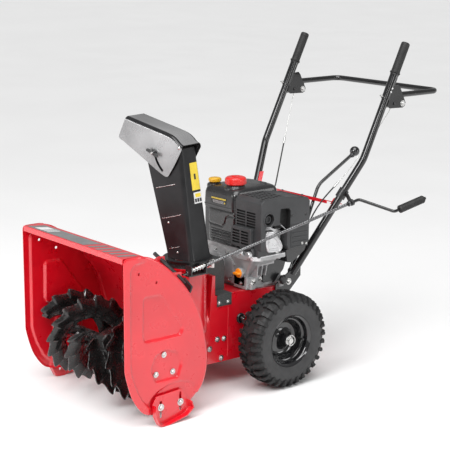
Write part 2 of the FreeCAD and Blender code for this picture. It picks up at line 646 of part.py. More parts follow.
# ================= chute crank =================
WP = V(181, -296, 450)
EY = V(300, 264, 611)
RD = (EY - WP).normalize()
BA = V(307, 292, 619)
BA = EY + RD * 30
BB = V(397, 374, 581)
GE = BB + RD * 132
rodshape = tube([tuple(WP + RD * 10), tuple(BA), tuple(BB), tuple(GE - RD * 4)], [16, 16], D["rod_radius"])
feature("crank_rod", rodshape)
wormc = Part.makeCylinder(9, 56, WP - RD * 46, RD).fuse(Part.makeCylinder(6, 74, WP - RD * 55, RD))
wormc = wormc.cut(Part.makeCylinder(5.0, 40, WP + RD * 10, RD))
feature("chute_worm", wormc.removeSplitter())
grip = Part.makeCylinder(13.5, 104, BB + RD * 20, RD)
for k in range(12):
    grip = grip.cut(Part.makeTorus(14.6, 2.2, BB + RD * (28 + 8 * k), RD))
grip = grip.cut(Part.makeCylinder(5.3, 300, BB, RD))
feature("crank_grip", grip)
# worm bracket on the neck, and the eye bolt bracket on the left handle
wb = Part.makeBox(40, 80, 4, V(152, -358, 426))
for t in (-54, 11):
    c = WP + RD * t
    ear = Part.makeBox(30, 5, 34, V(162, c.y - 2.5, 426))
    wb = wb.fuse(ear)
wb = wb.cut(Part.makeCylinder(6.35, 120, WP - RD * 80, RD)).cut(Part.makeCylinder(D["ring_radius"] + 0.6, 60, V(CX, CY, 435.5))).cut(Part.makeCylinder(D["neck_radius"], 60, V(CX, CY, 400)))
wb = wb.cut(Part.makeCylinder(9.6, 57.0, WP - RD * 46.5, RD))
feature("worm_bracket", max(wb.Solids, key=lambda q: q.Volume))


def handle_at(t, s):
    """Point on the handle's centre line at height t, for side s."""
    pts = [(140, 140, 346), (258, 356.5, 744), (258, 550, 1134)]
    a, b = (pts[0], pts[1]) if t < 744 else (pts[1], pts[2])
    k = (t - a[2]) / (b[2] - a[2])
    return V(s * (a[0] + (b[0] - a[0]) * k), a[1] + (b[1] - a[1]) * k, t)


eye_c = EY - RD * 4
hp = handle_at(628, 1)
eyeb = Part.makeCylinder(11, 9, eye_c, RD)
arm = prism([eye_c + V(-4, 0, -7), hp + V(14, 0, -7), hp + V(14, 0, 9), eye_c + V(-4, 0, 9)], tuple(RD * 6))
eyeb = eyeb.fuse(arm).fuse(Part.makeCylinder(17.5, 34, handle_at(612, 1), handle_at(640, 1) - handle_at(612, 1)))
eyeb = eyeb.cut(Part.makeCylinder(5.35, 80, EY - RD * 40, RD)).cut(Part.makeCylinder(13.0, 150, handle_at(560, 1), handle_at(640, 1) - handle_at(612, 1)))
feature("crank_eye_bracket", max(eyeb.removeSplitter().Solids, key=lambda q: q.Volume))

# ================= drive frame =================
fr = new_body("drive_frame")
prof = [(-237, 89), (-215, 394), (-203, 394), (-203, 322), (-119, 321), (92, 307), (130, 290), (130, 92), (110, 80)]
pad(fr, "YZ_Plane", seg(prof), "2 * #frame_half", both=True)
inner = [(-234, 92), (-212.2, 391), (-206, 391), (-206, 318.5), (-119, 318), (91, 304), (127, 288), (127, 94), (109, 83)]
pocket(fr, "YZ_Plane", seg(inner), 2 * D["frame_half"] - 6, both=True)
ax = cyl(D["axle_radius"] + 6.2, 400, (-200, 0, D["axle_z"]), (1, 0, 0))
sh = cyl(14, 60, (0, -260, D["drum_z"]), (0, 1, 0))
hx = cyl(10, 400, (-200, -60, 232), (1, 0, 0))
slit = box(150, 78, 30, (-75, -194, 300))
node(cut(fr, ax, sh, hx, slit), "drive_frame")

# textured belt cover standing in front of the engine
bc = new_body("belt_cover")
pad(bc, "YZ_Plane", seg([(-199, 323), (-199, 422), (-186, 437), (-134, 435), (-123, 421), (-123, 323)]), 170, both=True)
pocket(bc, "YZ_Plane", seg([(-196, 320), (-196, 421), (-185, 434), (-135, 432), (-126, 420), (-126, 320)]), 164, both=True)
cov = fuse(bc, box(56, 62, 3, (83, -196, 322.5)), box(3, 62, 41, (135.6, -196, 284.5)))
node(cut(cov, cyl(60, 10, (0, -128, 400), (0, 1, 0))), "belt_cover")

# ================= wheels and drive =================
axle = cyl(D["axle_radius"], 588, (-294, 0, D["axle_z"]), (1, 0, 0), "#axle_radius")
node(cut(axle, cyl(3.05, 60, (287, 0, D["axle_z"] - 30)), cyl(3.05, 60, (-287, 0, D["axle_z"] - 30))), "drive_axle")
node(group([cut(fuse(cyl(D["axle_radius"] + 6, 14, (x, 0, D["axle_z"]), (s, 0, 0)), cyl(D["axle_radius"] + 14, 4, (s * 135.3, 0, D["axle_z"]), (s, 0, 0))), cyl(D["axle_radius"] + 0.05, 60, (s * 110, 0, D["axle_z"]), (s, 0, 0))) for s, x in ((1, 127), (-1, -127))]), "axle_bushings")
R = D["wheel_radius"]


def wheel(side, s):
    # profile in (x, r): dished steel rim, outboard face towards +x
    rim = [(-58, 10), (-58, 17), (-16, 17), (-16, 60), (-40, 68), (-40, 80), (-47, 88), (-44, 88), (-36, 82), (36, 82), (44, 88), (47, 88), (40, 78), (30, 72), (14, 70), (-10, 56), (-10, 17), (34, 17), (34, 10)]
    b = revolve("rim_" + side, seg(rim))
    b.Placement = Placement(V(s * D["wheel_x"], 0, D["axle_z"]), Rotation(V(0, 0, 1), 0 if s > 0 else 180))
    node(b, "rim_" + side)
    half = D["tyre_width"] / 2
    prof = [(-36, 82.2), (-45, 89), (-half, 105), (-half - 1, 122), (-46, 146), (-40, 153), (-20, 157.5), (0, 159), (20, 157.5), (40, 153), (46, 146), (half + 1, 122), (half, 105), (45, 89), (36, 82.2), (36, 87), (44, 106), (45, 122), (40, 140), (0, 150), (-40, 140), (-45, 122), (-44, 106), (-36, 87)]
    tb = revolve("tyre_" + side, seg(prof))
    # chevron lugs
    lugs = []
    n = 18
    for k in range(n):
        for q in (1, -1):
            a = 360.0 * (k + (0.5 if q < 0 else 0)) / n
            lug = prism([(q * 2, -10, 132), (q * 26, -2, 132), (q * 51.5, 4, 132), (q * 51.5, 17, 132), (q * 26, 12, 132), (q * 2, 4, 132)], (0, 0, 48))
            lug.rotate(V(0, 0, 0), V(1, 0, 0), a)
            lugs.append(lug)
    env = Part.makeCylinder(R, 104, V(-52, 0, 0), V(1, 0, 0)).cut(Part.makeCylinder(152, 104, V(-52, 0, 0), V(1, 0, 0)))
    env2 = Part.makeCone(146, R, 14, V(-52, 0, 0), V(1, 0, 0)).fuse(Part.makeCylinder(R, 76, V(-38, 0, 0), V(1, 0, 0))).fuse(Part.makeCone(R, 146, 14, V(38, 0, 0), V(1, 0, 0)))
    lugf = doc.addObject("Part::Feature", "lugs_" + side)
    lugf.Shape = Part.makeCompound(lugs).common(env2)
    fz = fuse(tb, lugf)
    fz.Placement = Placement(V(s * D["wheel_x"], 0, D["axle_z"]), Rotation(V(0, 0, 1), 0 if s > 0 else 180))
    node(fz, "tyre_" + side)


wheel("left", 1)
wheel("right", -1)
pins = []
for s in (1, -1):
    p = rod((s * 287, 0, D["axle_z"] - 18), (s * 287, 0, D["axle_z"] + 18), 3)
    pins.append(p.fuse(Part.makeCylinder(4.6, 4, V(s * 287, 0, D["axle_z"] + 14))).removeSplitter())
feature("wheel_pins", Part.makeCompound(pins))
HY, HZ = -60, 232
hexs = Part.makeCylinder(8, 256, V(-128, HY, HZ), V(1, 0, 0)).fuse(Part.makeCylinder(9.7, 14, V(124, HY, HZ), V(1, 0, 0))).fuse(Part.makeCylinder(9.7, 14, V(-138, HY, HZ), V(1, 0, 0)))
hexs = hexs.fuse(Part.makeCylinder(18, 14, V(96, HY, HZ), V(1, 0, 0)))
feature("hex_shaft", hexs.removeSplitter())
feature("friction_wheel", Part.makeCylinder(62, 14, V(20, HY, HZ), V(1, 0, 0)).fuse(Part.makeCylinder(20, 34, V(10, HY, HZ), V(1, 0, 0))).cut(Part.makeCylinder(8.3, 60, V(0, HY, HZ), V(1, 0, 0))).removeSplitter())
disc = Part.makeCylinder(80, 8, V(0, -131, HZ), V(0, 1, 0)).fuse([Part.makeCylinder(9, 34, V(0, -160, HZ), V(0, 1, 0)), Part.makeCylinder(60, 13, V(0, -145.5, HZ), V(0, 1, 0)).cut(Part.makeTorus(61, 5, V(0, -139.5, HZ), V(0, 1, 0))), Part.makeCylinder(30, 4, V(0, -133.5, HZ), V(0, 1, 0))])
feature("drive_disc", disc.removeSplitter())
feature("axle_gear", Part.makeCylinder(70, 12, V(97, 0, D["axle_z"]), V(1, 0, 0)).fuse(Part.makeCylinder(18, 24, V(91, 0, D["axle_z"]), V(1, 0, 0))).cut(Part.makeCylinder(9.5, 60, V(80, 0, D["axle_z"]), V(1, 0, 0))).removeSplitter())

# ================= engine =================
EZ = D["engine_z"]
case = new_body("crankcase")
pad(case, "XZ_Plane", seg([(-100, 331), (130, 323), (130, 366), (112, 380), (108, 440), (104, 453), (-96, 453), (-104, 380)]), 150, both=True)
case.Placement = Placement(V(0, D["crank_y"] - 10, 0), Rotation())
wedge = doc.addObject("Part::Wedge", "engine_foot")
wedge.Xmin, wedge.Xmax, wedge.X2min, wedge.X2max = -90, 122, -90, 122
foot = new_body("engine_foot")
pad(foot, "YZ_Plane", seg([(-55, 316.9), (92, 307.15), (92, 336), (-55, 336)]), 210, -90)
doc.removeObject(wedge.Name)
fl = fuse(case, foot, box(108, 84, 72, (60.3, -28, 448)), cyl(58, 14, (0, -67, EZ), (0, 1, 0)), cyl(26, 20, (0, -78, EZ), (0, 1, 0)), cyl(15, 30, (110, -78, 378), (0, 1, 0)))
node(cut(fl, cyl(12.8, 300, (0, -120, EZ), (0, 1, 0)), cyl(10.4, 26, (110, -79, 378), (0, 1, 0))), "crankcase")
rc = new_body("rocker_cover")
pad(rc, "YZ_Plane", seg([(-31, 458), (-24, 450), (44, 447), (52, 454), (55, 520), (47, 529), (-22, 533), (-31, 525)]), 24, 168.4)
node(rc, "rocker_cover")
hood = new_body("engine_hood")
pad(hood, "YZ_Plane", seg([(-59, 467), (-59, 622), (-50, 634), (60, 640), (150, 630), (163, 615), (163, 545), (150, 500), (62, 490), (62, 536), (-36, 540), (-36, 467)]), 136, 64)
pk = pocket(hood, "YZ_Plane", seg([(-55, 463), (-55, 620), (-48, 630), (60, 636), (148, 626), (159, 613), (159, 547), (148, 504), (66, 494), (66, 540), (-40, 544), (-40, 463)]), 130, 64, flip=True)
node(cut(hood, box(40, 40, 31, (70, -100, 455))), "engine_hood")
tank = new_body("fuel_tank")
pad(tank, "YZ_Plane", seg([(-58, 575), (-58, 636), (-48, 650), (120, 658), (146, 640), (146, 575)]), 173, -113)
node(fuse(tank, cyl(30, 14, (7, -10, 648)), cyl(17, 12, (-92, -22, 646))), "fuel_tank")
fan = new_body("fan_cover")
pad(fan, "XZ_Plane", seg([(-100, 366), (-70, 330), (70, 330), (104, 366), (104, 440), (62, 462), (62, 574), (-113, 574), (-113, 440)]), 47, -98.2, flip=True)
node(cut(fuse(fan, box(172, 155, 120, (-112, -56, 453.6))), cyl(12.8, 100, (0, 80, EZ), (0, 1, 0)), cyl(5, 60, (0, 120, 470), (0, 1, 0))), "fan_cover")
feature("fuel_cap", Part.makeCylinder(37, 24, V(7, -10, 666)).fuse(Part.makeCylinder(30, 3, V(7, -10, 689))).fuse(Part.makeCylinder(33, 4, V(7, -10, 662.3))).removeSplitter())
feature("oil_cap", Part.makeCylinder(22, 12, V(-92, -22, 660)).fuse(Part.makeCylinder(17, 3, V(-92, -22, 671))).fuse(Part.makeCylinder(20, 2.5, V(-92, -22, 658.3))).removeSplitter())
feature("dipstick", Part.makeCylinder(10, 18, V(110, -79, 378), V(0, 1, 0)).fuse([Part.makeCylinder(16, 5, V(110, -83.4, 378), V(0, 1, 0)), Part.makeBox(26, 13, 6, V(97, -96, 375))]).removeSplitter())
feature("recoil_grip", Part.makeBox(44, 12, 16, V(-22, 156.6, 462)).fuse(Part.makeCylinder(4.6, 30, V(0, 127.0, 470), V(0, 1, 0))).removeSplitter())
cpul = [Part.makeCylinder(12.4, 264, V(0, -182, EZ), V(0, 1, 0))]
for y in (-180, -145.5):
    cpul.append(Part.makeCylinder(30, 12, V(0, y, EZ), V(0, 1, 0)).cut(Part.makeTorus(31, 6, V(0, y + 6, EZ), V(0, 1, 0))))
feature("crank_pulleys", cpul[0].fuse(cpul[1:]).removeSplitter())
feature("impeller_pulley", Part.makeCylinder(72, 12, V(0, -180, D["drum_z"]), V(0, 1, 0)).cut(Part.makeTorus(73, 5, V(0, -174, D["drum_z"]), V(0, 1, 0))).cut(Part.makeCylinder(10, 60, V(0, -200, D["drum_z"]), V(0, 1, 0))))

# ================= handles =================


def handle(name, s):
    t = tube([(s * 140, 140, 346), (s * 258, 356.5, 744), (s * 258, 550, 1134)], 120, D["tube_radius"])
    sleeve = rod(tuple(handle_at(945, s)), tuple(handle_at(1030, s)), 15)
    foot = prism([(s * 139.0, 60, 250), (s * 139.0, 60, 320), (s * 139.0, 150, 372), (s * 139.0, 176, 372), (s * 139.0, 176, 335), (s * 139.0, 84, 250)], (s * 5, 0, 0))
    extra = [sleeve, foot]
    # two cheeks welded to the back of the tube carry the bail's pivot
    for off in (11.2, -14.2):
        extra.append(prism([(s * 258 + off, y, z) for y, z in ((500, 994), (486, 992), (452, 924), (466, 915), (530, 913), (541, 918), (545, 930), (516, 985), (508, 994))], (3, 0, 0)))
    if s > 0:
        extra.append(prism([(108, 170, 338), (140, 170, 334), (140, 170, 360), (108, 170, 360)], (0, 4, 0)))
    h1 = t.fuse(extra)
    h1 = h1.cut(Part.makeCylinder(5.0, 60, V(s * 230, 530, 928), V(s, 0, 0)))
    if s > 0:
        h1 = h1.cut(Part.makeCylinder(5.0, 30, V(118, 150, 350), V(0, 1, 0)))
    return feature(name, h1.removeSplitter())


handle("handle_left", 1)
handle("handle_right", -1)
grips = []
for s in (1, -1):
    g = rod(tuple(handle_at(1034, s)), tuple(handle_at(1134, s)), 15.5).cut(rod(tuple(handle_at(1000, s)), tuple(handle_at(1134, s)), 13.0))
    d = (handle_at(1134, s) - handle_at(1100, s)).normalize()
    e1 = handle_at(1134, s) + d * 0.2
    g = g.fuse(Part.makeCylinder(15.5, 3.5, e1 - d * 0.2, d)).fuse(Part.makeCylinder(18.5, 4, handle_at(1034, s), d).cut(Part.makeCylinder(13.0, 20, handle_at(1030, s), d)))
    grips.append(g.removeSplitter())
feature("hand_grips", Part.makeCompound(grips))

# bail: a bent bar on two triangular plates that pivot on the handles
BPY, BPZ = 530, 928
bar = tube([(258, 528, 957), (258, 727, 957), (-258, 727, 957), (-258, 528, 957)], 30, D["bail_radius"])
tri = []
for s in (1, -1):
    x = s * 258 - 6
    tri.append(Part.makeCylinder(9, 12, V(x, BPY, BPZ), V(1, 0, 0)))
    tri.append(prism([(x, 522, 926), (x, 538, 926), (x, 548, 957), (x, 529, 957)], (12, 0, 0)))
    tri.append(prism([(x + 3, 530, 937), (x + 3, 500, 946), (x + 3, 497, 939), (x + 3, 525, 922)], (6, 0, 0)))
bl = bar.fuse(tri)
for s in (1, -1):
    bl = bl.cut(Part.makeCylinder(5.3, 60, V(s * 230, BPY, BPZ), V(s, 0, 0)))
feature("bail", bl.removeSplitter())

# bolts of the handles and the bail's pivots
hb = []
for s in (1, -1):
    hb.append(Part.makeCylinder(5, 29, V(s * 243.6, BPY, BPZ), V(s, 0, 0)).fuse([hexbolt((s * 243.7, BPY, BPZ), (-s, 0, 0), 9, 5), hexbolt((s * 272.3, BPY, BPZ), (s, 0, 0), 9, 6)]))
    for y, z in ((84, 268), (120, 322)):
        hb.append(hexbolt((s * 144.3, y, z), (s, 0, 0), 9, 6))
hb.append(Part.makeCylinder(4.95, 27, V(118, 148.5, 350), V(0, 1, 0)).fuse(hexbolt((118, 149, 350), (0, -1, 0), 9, 4)))
feature("handle_bolts", Part.makeCompound(hb))

# clutch cables from the bail's front holes down along the handles to the frame
cab = []
for s in (1, -1):
    if s > 0:
        pts = [(254, 496, 934), (251, 487, 903), (235, 430, 820), (226, 318, 705), (186, 212, 590), (150, 150, 440), (126, 112, 299.4)]
        rs = [60, 150, 200, 300, 200]
    else:
        pts = [(-254, 496, 934), (-251, 487, 903), (-113, 280, 600), (-128, 196, 500), (-150, 150, 440), (-126, 112, 299.4)]
        rs = [60, 60, 120, 150]
    cab.append(tube(pts, rs, 2.5))
feature("clutch_cables", Part.makeCompound(cab))

# shift panel between the handles
pan = new_body("shift_panel")
pad(pan, "YZ_Plane", seg([(240, 606.2), (316, 583.6), (316, 580.5), (243, 602.2), (243, 594), (240, 594)]), 400, both=True)


def ear(s, top):
    """The panel's end tab lying along the inner side of a handle tube."""
    def q(z, dy):
        p = handle_at(z, s)
        return (p.x - s * 17.2, p.y + dy, z)
    o = doc.addObject("Part::Feature", "end_tab")
    o.Shape = prism([q(588, -9), q(top, -9), q(top, 9), q(588, 9)], (s * 3, 0, 0))
    return o


grip_clear = [cyl(13.1, 300, tuple(handle_at(500, s)), tuple(handle_at(640, s).sub(handle_at(600, s)))) for s in (1, -1)]
panf = fuse(cut(pan, box(124, 34, 60, (11, 254, 565)), cyl(11, 60, (-115, 277, 560), (0, 0, 1)), *grip_clear), ear(1, 609), ear(-1, 640))
node(panf, "shift_panel")
lev = tube([(118, 160, 355), (114, 250, 566), (108, 288, 640), (100, 466, 733)], [90, 70], 6)
lev = lev.fuse(Part.makeCylinder(10, 19, V(118, 150.4, 350), V(0, 1, 0))).cut(Part.makeCylinder(5.2, 60, V(118, 130, 350), V(0, 1, 0)))
feature("shift_lever", lev)
feature("shift_knob", Part.makeSphere(18, V(99.6, 473, 740)).cut(lev))

# belts from the crankshaft pulleys to the impeller pulley and to the drive disc
def belt(y, z0, r0, z1, r1, w, tk):
    def loop(g):
        a, b = r0 + g, r1 + g
        L = z0 - z1
        th = math.asin((b - a) / L)
        c, s = math.cos(th), math.sin(th)
        p = [V(a * c, y, z0 + a * s), V(b * c, y, z1 + b * s)]
        top = Part.Arc(V(-a * c, y, z0 + a * s), V(0, y, z0 + a), V(a * c, y, z0 + a * s)).toShape()
        bot = Part.Arc(V(b * c, y, z1 + b * s), V(0, y, z1 - b), V(-b * c, y, z1 + b * s)).toShape()
        l1 = Part.LineSegment(V(a * c, y, z0 + a * s), V(b * c, y, z1 + b * s)).toShape()
        l2 = Part.LineSegment(V(-b * c, y, z1 + b * s), V(-a * c, y, z0 + a * s)).toShape()
        return Part.Wire([top, l1, bot, l2])
    o = Part.Face(loop(tk)).extrude(V(0, w, 0))
    i = Part.Face(loop(0)).extrude(V(0, w, 0))
    return o.cut(i)


feature("drive_belts", Part.makeCompound([belt(-177.5, EZ, 30.4, D["drum_z"], 72.4, 7, 6), belt(-143, EZ, 30.4, HZ, 60.4, 7, 6)]))

doc.recompute()
bad = [o.Name for o in doc.Objects if "Invalid" in o.State or "Error" in o.State]
if bad:
    raise SystemExit("failed features: %s" % bad)
os.makedirs("parts", exist_ok=True)
for f in os.listdir("parts"):
    os.remove(os.path.join("parts", f))
lo, hi = [1e9] * 3, [-1e9] * 3
for o in NODES:
    s = o.Shape
    if s.isNull() or not s.isValid() or not s.Solids:
        raise SystemExit("bad shape: %s" % o.Label)
    bb = s.BoundBox
    lo = [min(a, b) for a, b in zip(lo, (bb.XMin, bb.YMin, bb.ZMin))]
    hi = [max(a, b) for a, b in zip(hi, (bb.XMax, bb.YMax, bb.ZMax))]
    s.exportStep("parts/%s.step" % o.Label)
print(len(NODES), "nodes; box", [round(v, 2) for v in lo], [round(v, 2) for v in hi], "centre", [round((a + b) / 2, 2) for a, b in zip(lo, hi)])
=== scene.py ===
import math
import bmesh
import bpy
import numpy as np
from mathutils import Matrix, Vector, geometry


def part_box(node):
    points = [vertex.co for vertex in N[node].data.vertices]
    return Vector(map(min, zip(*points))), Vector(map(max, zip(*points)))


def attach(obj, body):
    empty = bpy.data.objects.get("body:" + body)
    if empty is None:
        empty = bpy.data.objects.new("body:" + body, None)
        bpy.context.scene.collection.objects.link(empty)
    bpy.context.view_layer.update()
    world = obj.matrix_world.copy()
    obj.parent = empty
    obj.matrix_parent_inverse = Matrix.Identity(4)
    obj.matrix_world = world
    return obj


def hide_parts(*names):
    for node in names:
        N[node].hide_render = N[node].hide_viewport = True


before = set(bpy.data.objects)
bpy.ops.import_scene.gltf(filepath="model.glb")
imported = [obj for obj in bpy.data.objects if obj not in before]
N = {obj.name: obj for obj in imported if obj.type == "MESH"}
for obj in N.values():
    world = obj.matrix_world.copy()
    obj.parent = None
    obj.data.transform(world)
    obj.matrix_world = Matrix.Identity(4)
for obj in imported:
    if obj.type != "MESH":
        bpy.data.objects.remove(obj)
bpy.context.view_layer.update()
_a, _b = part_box("drive_axle")
SX, SY = (_a.x + _b.x) * 500, (_a.y + _b.y) * 500  # the axle's middle, in millimetres
W2 = 287.5
pi, cos, sin, rad = math.pi, math.cos, math.sin, math.radians


def M3(p):
    """A point in the machine's working millimetres, axle at Y 0, as a place in the frame in metres."""
    return ((p[0] + SX) / 1000, (p[1] + SY) / 1000, p[2] / 1000)


def V(*p):
    return Vector(p if len(p) > 1 else p[0])


# ------------------------------------------------------------------ camera, first
camd = bpy.data.cameras.new("camera")
cam = bpy.data.objects.new("camera", camd)
bpy.context.scene.collection.objects.link(cam)
az, el, ro = rad(50.464), rad(12.926), rad(0.3636)
back = V(sin(az) * cos(el), -cos(az) * cos(el), sin(el))
right = V(cos(az), sin(az), 0)
up = back.cross(right)
r_, u_ = right * cos(ro) + up * sin(ro), up * cos(ro) - right * sin(ro)
m4 = Matrix.Identity(4)
for i in range(3):
    m4[i][0], m4[i][1], m4[i][2] = r_[i], u_[i], back[i]
m4.translation = M3((3415.65, -2870.2, 1538.44))
cam.matrix_world = m4
camd.lens, camd.sensor_width = 104.94, 36
camd.clip_start, camd.clip_end = 0.1, 100
bpy.context.scene.camera = cam


# ------------------------------------------------------------------ materials
def mat(name, col, rough=0.4, metal=0.0, coat=0.0, coat_rough=0.08, var=0.08, vs=18.0, rvar=0.08, bump=0.04, bs=900.0, spec=0.5, wear=0.0, wear_col=(0.5, 0.5, 0.5), dust=0.0, dust_col=(0.25, 0.24, 0.22), voronoi=False, streak=None, sheen=0.0):
    m = bpy.data.materials.new(name)
    m.use_nodes = True
    nt = m.node_tree
    nt.nodes.clear()
    nn, ln = nt.nodes.new, nt.links.new
    out = nn("ShaderNodeOutputMaterial")
    p = nn("ShaderNodeBsdfPrincipled")
    ln(p.outputs[0], out.inputs[0])
    p.inputs["Metallic"].default_value = metal
    p.inputs["Specular IOR Level"].default_value = spec
    p.inputs["Coat Weight"].default_value = coat
    p.inputs["Coat Roughness"].default_value = coat_rough
    if sheen:
        p.inputs["Sheen Weight"].default_value = sheen
        p.inputs["Sheen Roughness"].default_value = 0.5
    tc = nn("ShaderNodeTexCoord")
    n1 = nn("ShaderNodeTexNoise")
    n1.inputs["Scale"].default_value = vs
    n1.inputs["Detail"].default_value = 6
    ln(tc.outputs["Object"], n1.inputs["Vector"])
    ramp = nn("ShaderNodeValToRGB")
    lo = [max(0, c * (1 - var)) for c in col]
    hi = [min(1, c * (1 + var) + 0.0015 * var * 10) for c in col]
    ramp.color_ramp.elements[0].position, ramp.color_ramp.elements[1].position = 0.32, 0.68
    ramp.color_ramp.elements[0].color, ramp.color_ramp.elements[1].color = (*lo, 1), (*hi, 1)
    ln(n1.outputs["Fac"], ramp.inputs["Fac"])
    colour = ramp.outputs["Color"]

    def blend(fac, a, rgb):
        x = nn("ShaderNodeMix")
        x.data_type = "RGBA"
        ln(fac, x.inputs["Factor"])
        ln(a, x.inputs["A"])
        x.inputs["B"].default_value = (*rgb, 1)
        return x.outputs["Result"]

    def step(src, a, b, lo_=0.0, hi_=1.0):
        r = nn("ShaderNodeMapRange")
        r.interpolation_type = "SMOOTHSTEP"
        for k, v in (("From Min", a), ("From Max", b), ("To Min", lo_), ("To Max", hi_)):
            r.inputs[k].default_value = v
        ln(src, r.inputs["Value"])
        return r.outputs["Result"]

    if wear:
        g = nn("ShaderNodeNewGeometry")
        w = step(g.outputs["Pointiness"], 0.53, 0.62)
        n3 = nn("ShaderNodeTexNoise")
        n3.inputs["Scale"].default_value = 120
        ln(tc.outputs["Object"], n3.inputs["Vector"])
        mm = nn("ShaderNodeMath")
        mm.operation = "MULTIPLY"
        ln(w, mm.inputs[0])
        ln(step(n3.outputs["Fac"], 0.45, 0.62, 0, wear), mm.inputs[1])
        colour = blend(mm.outputs[0], colour, wear_col)
    if dust:
        n4 = nn("ShaderNodeTexNoise")
        n4.inputs["Scale"].default_value = 9
        n4.inputs["Detail"].default_value = 9
        ln(tc.outputs["Object"], n4.inputs["Vector"])
        colour = blend(step(n4.outputs["Fac"], 0.5, 0.8, 0, dust), colour, dust_col)
    ln(colour, p.inputs["Base Color"])
    n2 = nn("ShaderNodeTexNoise")
    n2.inputs["Scale"].default_value = vs * 3.3
    n2.inputs["Detail"].default_value = 5
    if streak:
        mp = nn("ShaderNodeMapping")
        mp.inputs["Scale"].default_value = streak
        ln(tc.outputs["Object"], mp.inputs["Vector"])
        ln(mp.outputs[0], n2.inputs["Vector"])
    else:
        ln(tc.outputs["Object"], n2.inputs["Vector"])
    ln(step(n2.outputs["Fac"], 0.3, 0.7, max(0.02, rough - rvar), rough + rvar), p.inputs["Roughness"])
    if voronoi:
        b0 = nn("ShaderNodeTexVoronoi")
        b0.inputs["Scale"].default_value = bs
        src = b0.outputs["Distance"]
    else:
        b0 = nn("ShaderNodeTexNoise")
        b0.inputs["Scale"].default_value = bs
        b0.inputs["Detail"].default_value = 3
        src = b0.outputs["Fac"]
    ln(tc.outputs["Object"], b0.inputs["Vector"])
    bp = nn("ShaderNodeBump")
    bp.inputs["Strength"].default_value = bump
    bp.inputs["Distance"].default_value = 0.0006
    ln(src, bp.inputs["Height"])
    ln(bp.outputs[0], p.inputs["Normal"])
    return m


RED = mat("red_paint", (0.68, 0.003, 0.014), 0.32, coat=1.0, coat_rough=0.14, spec=0.6, var=0.07, vs=7, bump=0.10, bs=420, rvar=0.06, wear=0.25, wear_col=(0.42, 0.02, 0.03))
BLACK = mat("black_paint", (0.008, 0.008, 0.009), 0.24, coat=0.35, spec=0.35, coat_rough=0.06, var=0.25, vs=14, bump=0.06, bs=500, rvar=0.06)
BLACK2 = mat("black_powder", (0.016, 0.016, 0.017), 0.36, coat=0.2, coat_rough=0.2, var=0.25, vs=14, bump=0.16, bs=900, rvar=0.08)
AUG = mat("auger_black", (0.008, 0.007, 0.007), 0.24, coat=0.35, coat_rough=0.12, var=0.3, vs=16, bump=0.10, bs=300, rvar=0.10, wear=0.5, wear_col=(0.22, 0.22, 0.22))
HOOD = mat("hood_plastic", (0.040, 0.041, 0.043), 0.44, var=0.12, vs=12, bump=0.28, bs=1500, rvar=0.07, voronoi=True)
TANK = mat("tank_plastic", (0.014, 0.014, 0.015), 0.30, coat=0.6, coat_rough=0.10, var=0.15, vs=10, bump=0.16, bs=1300, rvar=0.06)
# near-black painted shade for the cut walls and floors of vents and slots, also the black intake block
SHADE_BLACK = mat("intake_black_and_painted_shade", (0.006, 0.006, 0.006), 0.75, var=0.3, vs=30, bump=0.1)
COVER = mat("speckled_cover", (0.050, 0.053, 0.053), 0.52, var=0.45, vs=420, bump=0.6, bs=700, rvar=0.1)
CAST = mat("cast_aluminium", (0.40, 0.40, 0.405), 0.46, metal=0.45, var=0.16, vs=26, bump=0.45, bs=420, rvar=0.12, dust=0.12, dust_col=(0.3, 0.29, 0.28))
CASTB = mat("machined_aluminium", (0.66, 0.66, 0.67), 0.34, metal=0.75, var=0.08, vs=30, bump=0.10, bs=700, rvar=0.08)
TUBE = mat("tube_enamel", (0.006, 0.006, 0.0065), 0.16, coat=0.7, coat_rough=0.04, spec=0.4, var=0.2, vs=10, bump=0.01, bs=300, rvar=0.03)
ROD = mat("rod_steel", (0.20, 0.20, 0.205), 0.24, metal=0.85, var=0.2, vs=60, bump=0.05, bs=600, rvar=0.05)
CHUTE = mat("chute_black", (0.010, 0.010, 0.011), 0.34, coat=0.12, coat_rough=0.12, spec=0.3, var=0.25, vs=12, bump=0.05, bs=500, rvar=0.06)
ZINC = mat("zinc_plate", (0.62, 0.62, 0.61), 0.26, metal=1.0, var=0.10, vs=50, bump=0.08, bs=600, rvar=0.08)
STEEL = mat("turned_steel", (0.52, 0.52, 0.53), 0.28, metal=1.0, var=0.12, vs=40, bump=0.12, bs=500, rvar=0.10)
TYRE = mat("tyre_rubber", (0.014, 0.014, 0.0145), 0.62, var=0.2, vs=30, bump=0.35, bs=500, rvar=0.10, spec=0.4, dust=0.10, dust_col=(0.06, 0.06, 0.06))
SIDEW = mat("tyre_sidewall", (0.034, 0.034, 0.035), 0.50, var=0.15, vs=24, bump=0.2, bs=700, rvar=0.08, spec=0.45)
RUBBER = mat("grip_rubber", (0.018, 0.018, 0.018), 0.55, var=0.2, vs=40, bump=0.4, bs=1100, rvar=0.1, spec=0.4)
RIM = mat("rim_enamel", (0.006, 0.006, 0.007), 0.12, coat=0.9, coat_rough=0.04, var=0.25, vs=20, bump=0.03, bs=300, rvar=0.04)
# grey standing in for the softbox reflection on the black gloss deflector: a painted reflection
REFLECT_GREY = mat("deflector_painted_reflection", (0.36, 0.36, 0.365), 0.30, metal=0.6, coat=0.8, coat_rough=0.10, var=0.30, vs=5, bump=0.04, bs=400, rvar=0.06)
CAPR = mat("cap_red", (0.75, 0.022, 0.018), 0.30, var=0.08, vs=30, bump=0.1, bs=800, coat=0.3)
CAPY = mat("cap_yellow", (0.84, 0.46, 0.012), 0.32, var=0.10, vs=30, bump=0.1, bs=800, coat=0.3)
CAPO = mat("dipstick_orange", (0.90, 0.28, 0.012), 0.32, var=0.10, vs=30, bump=0.1, bs=800, coat=0.3)
WHITE = mat("white_plastic", (0.78, 0.78, 0.76), 0.42, var=0.06, vs=40, bump=0.1, bs=700)
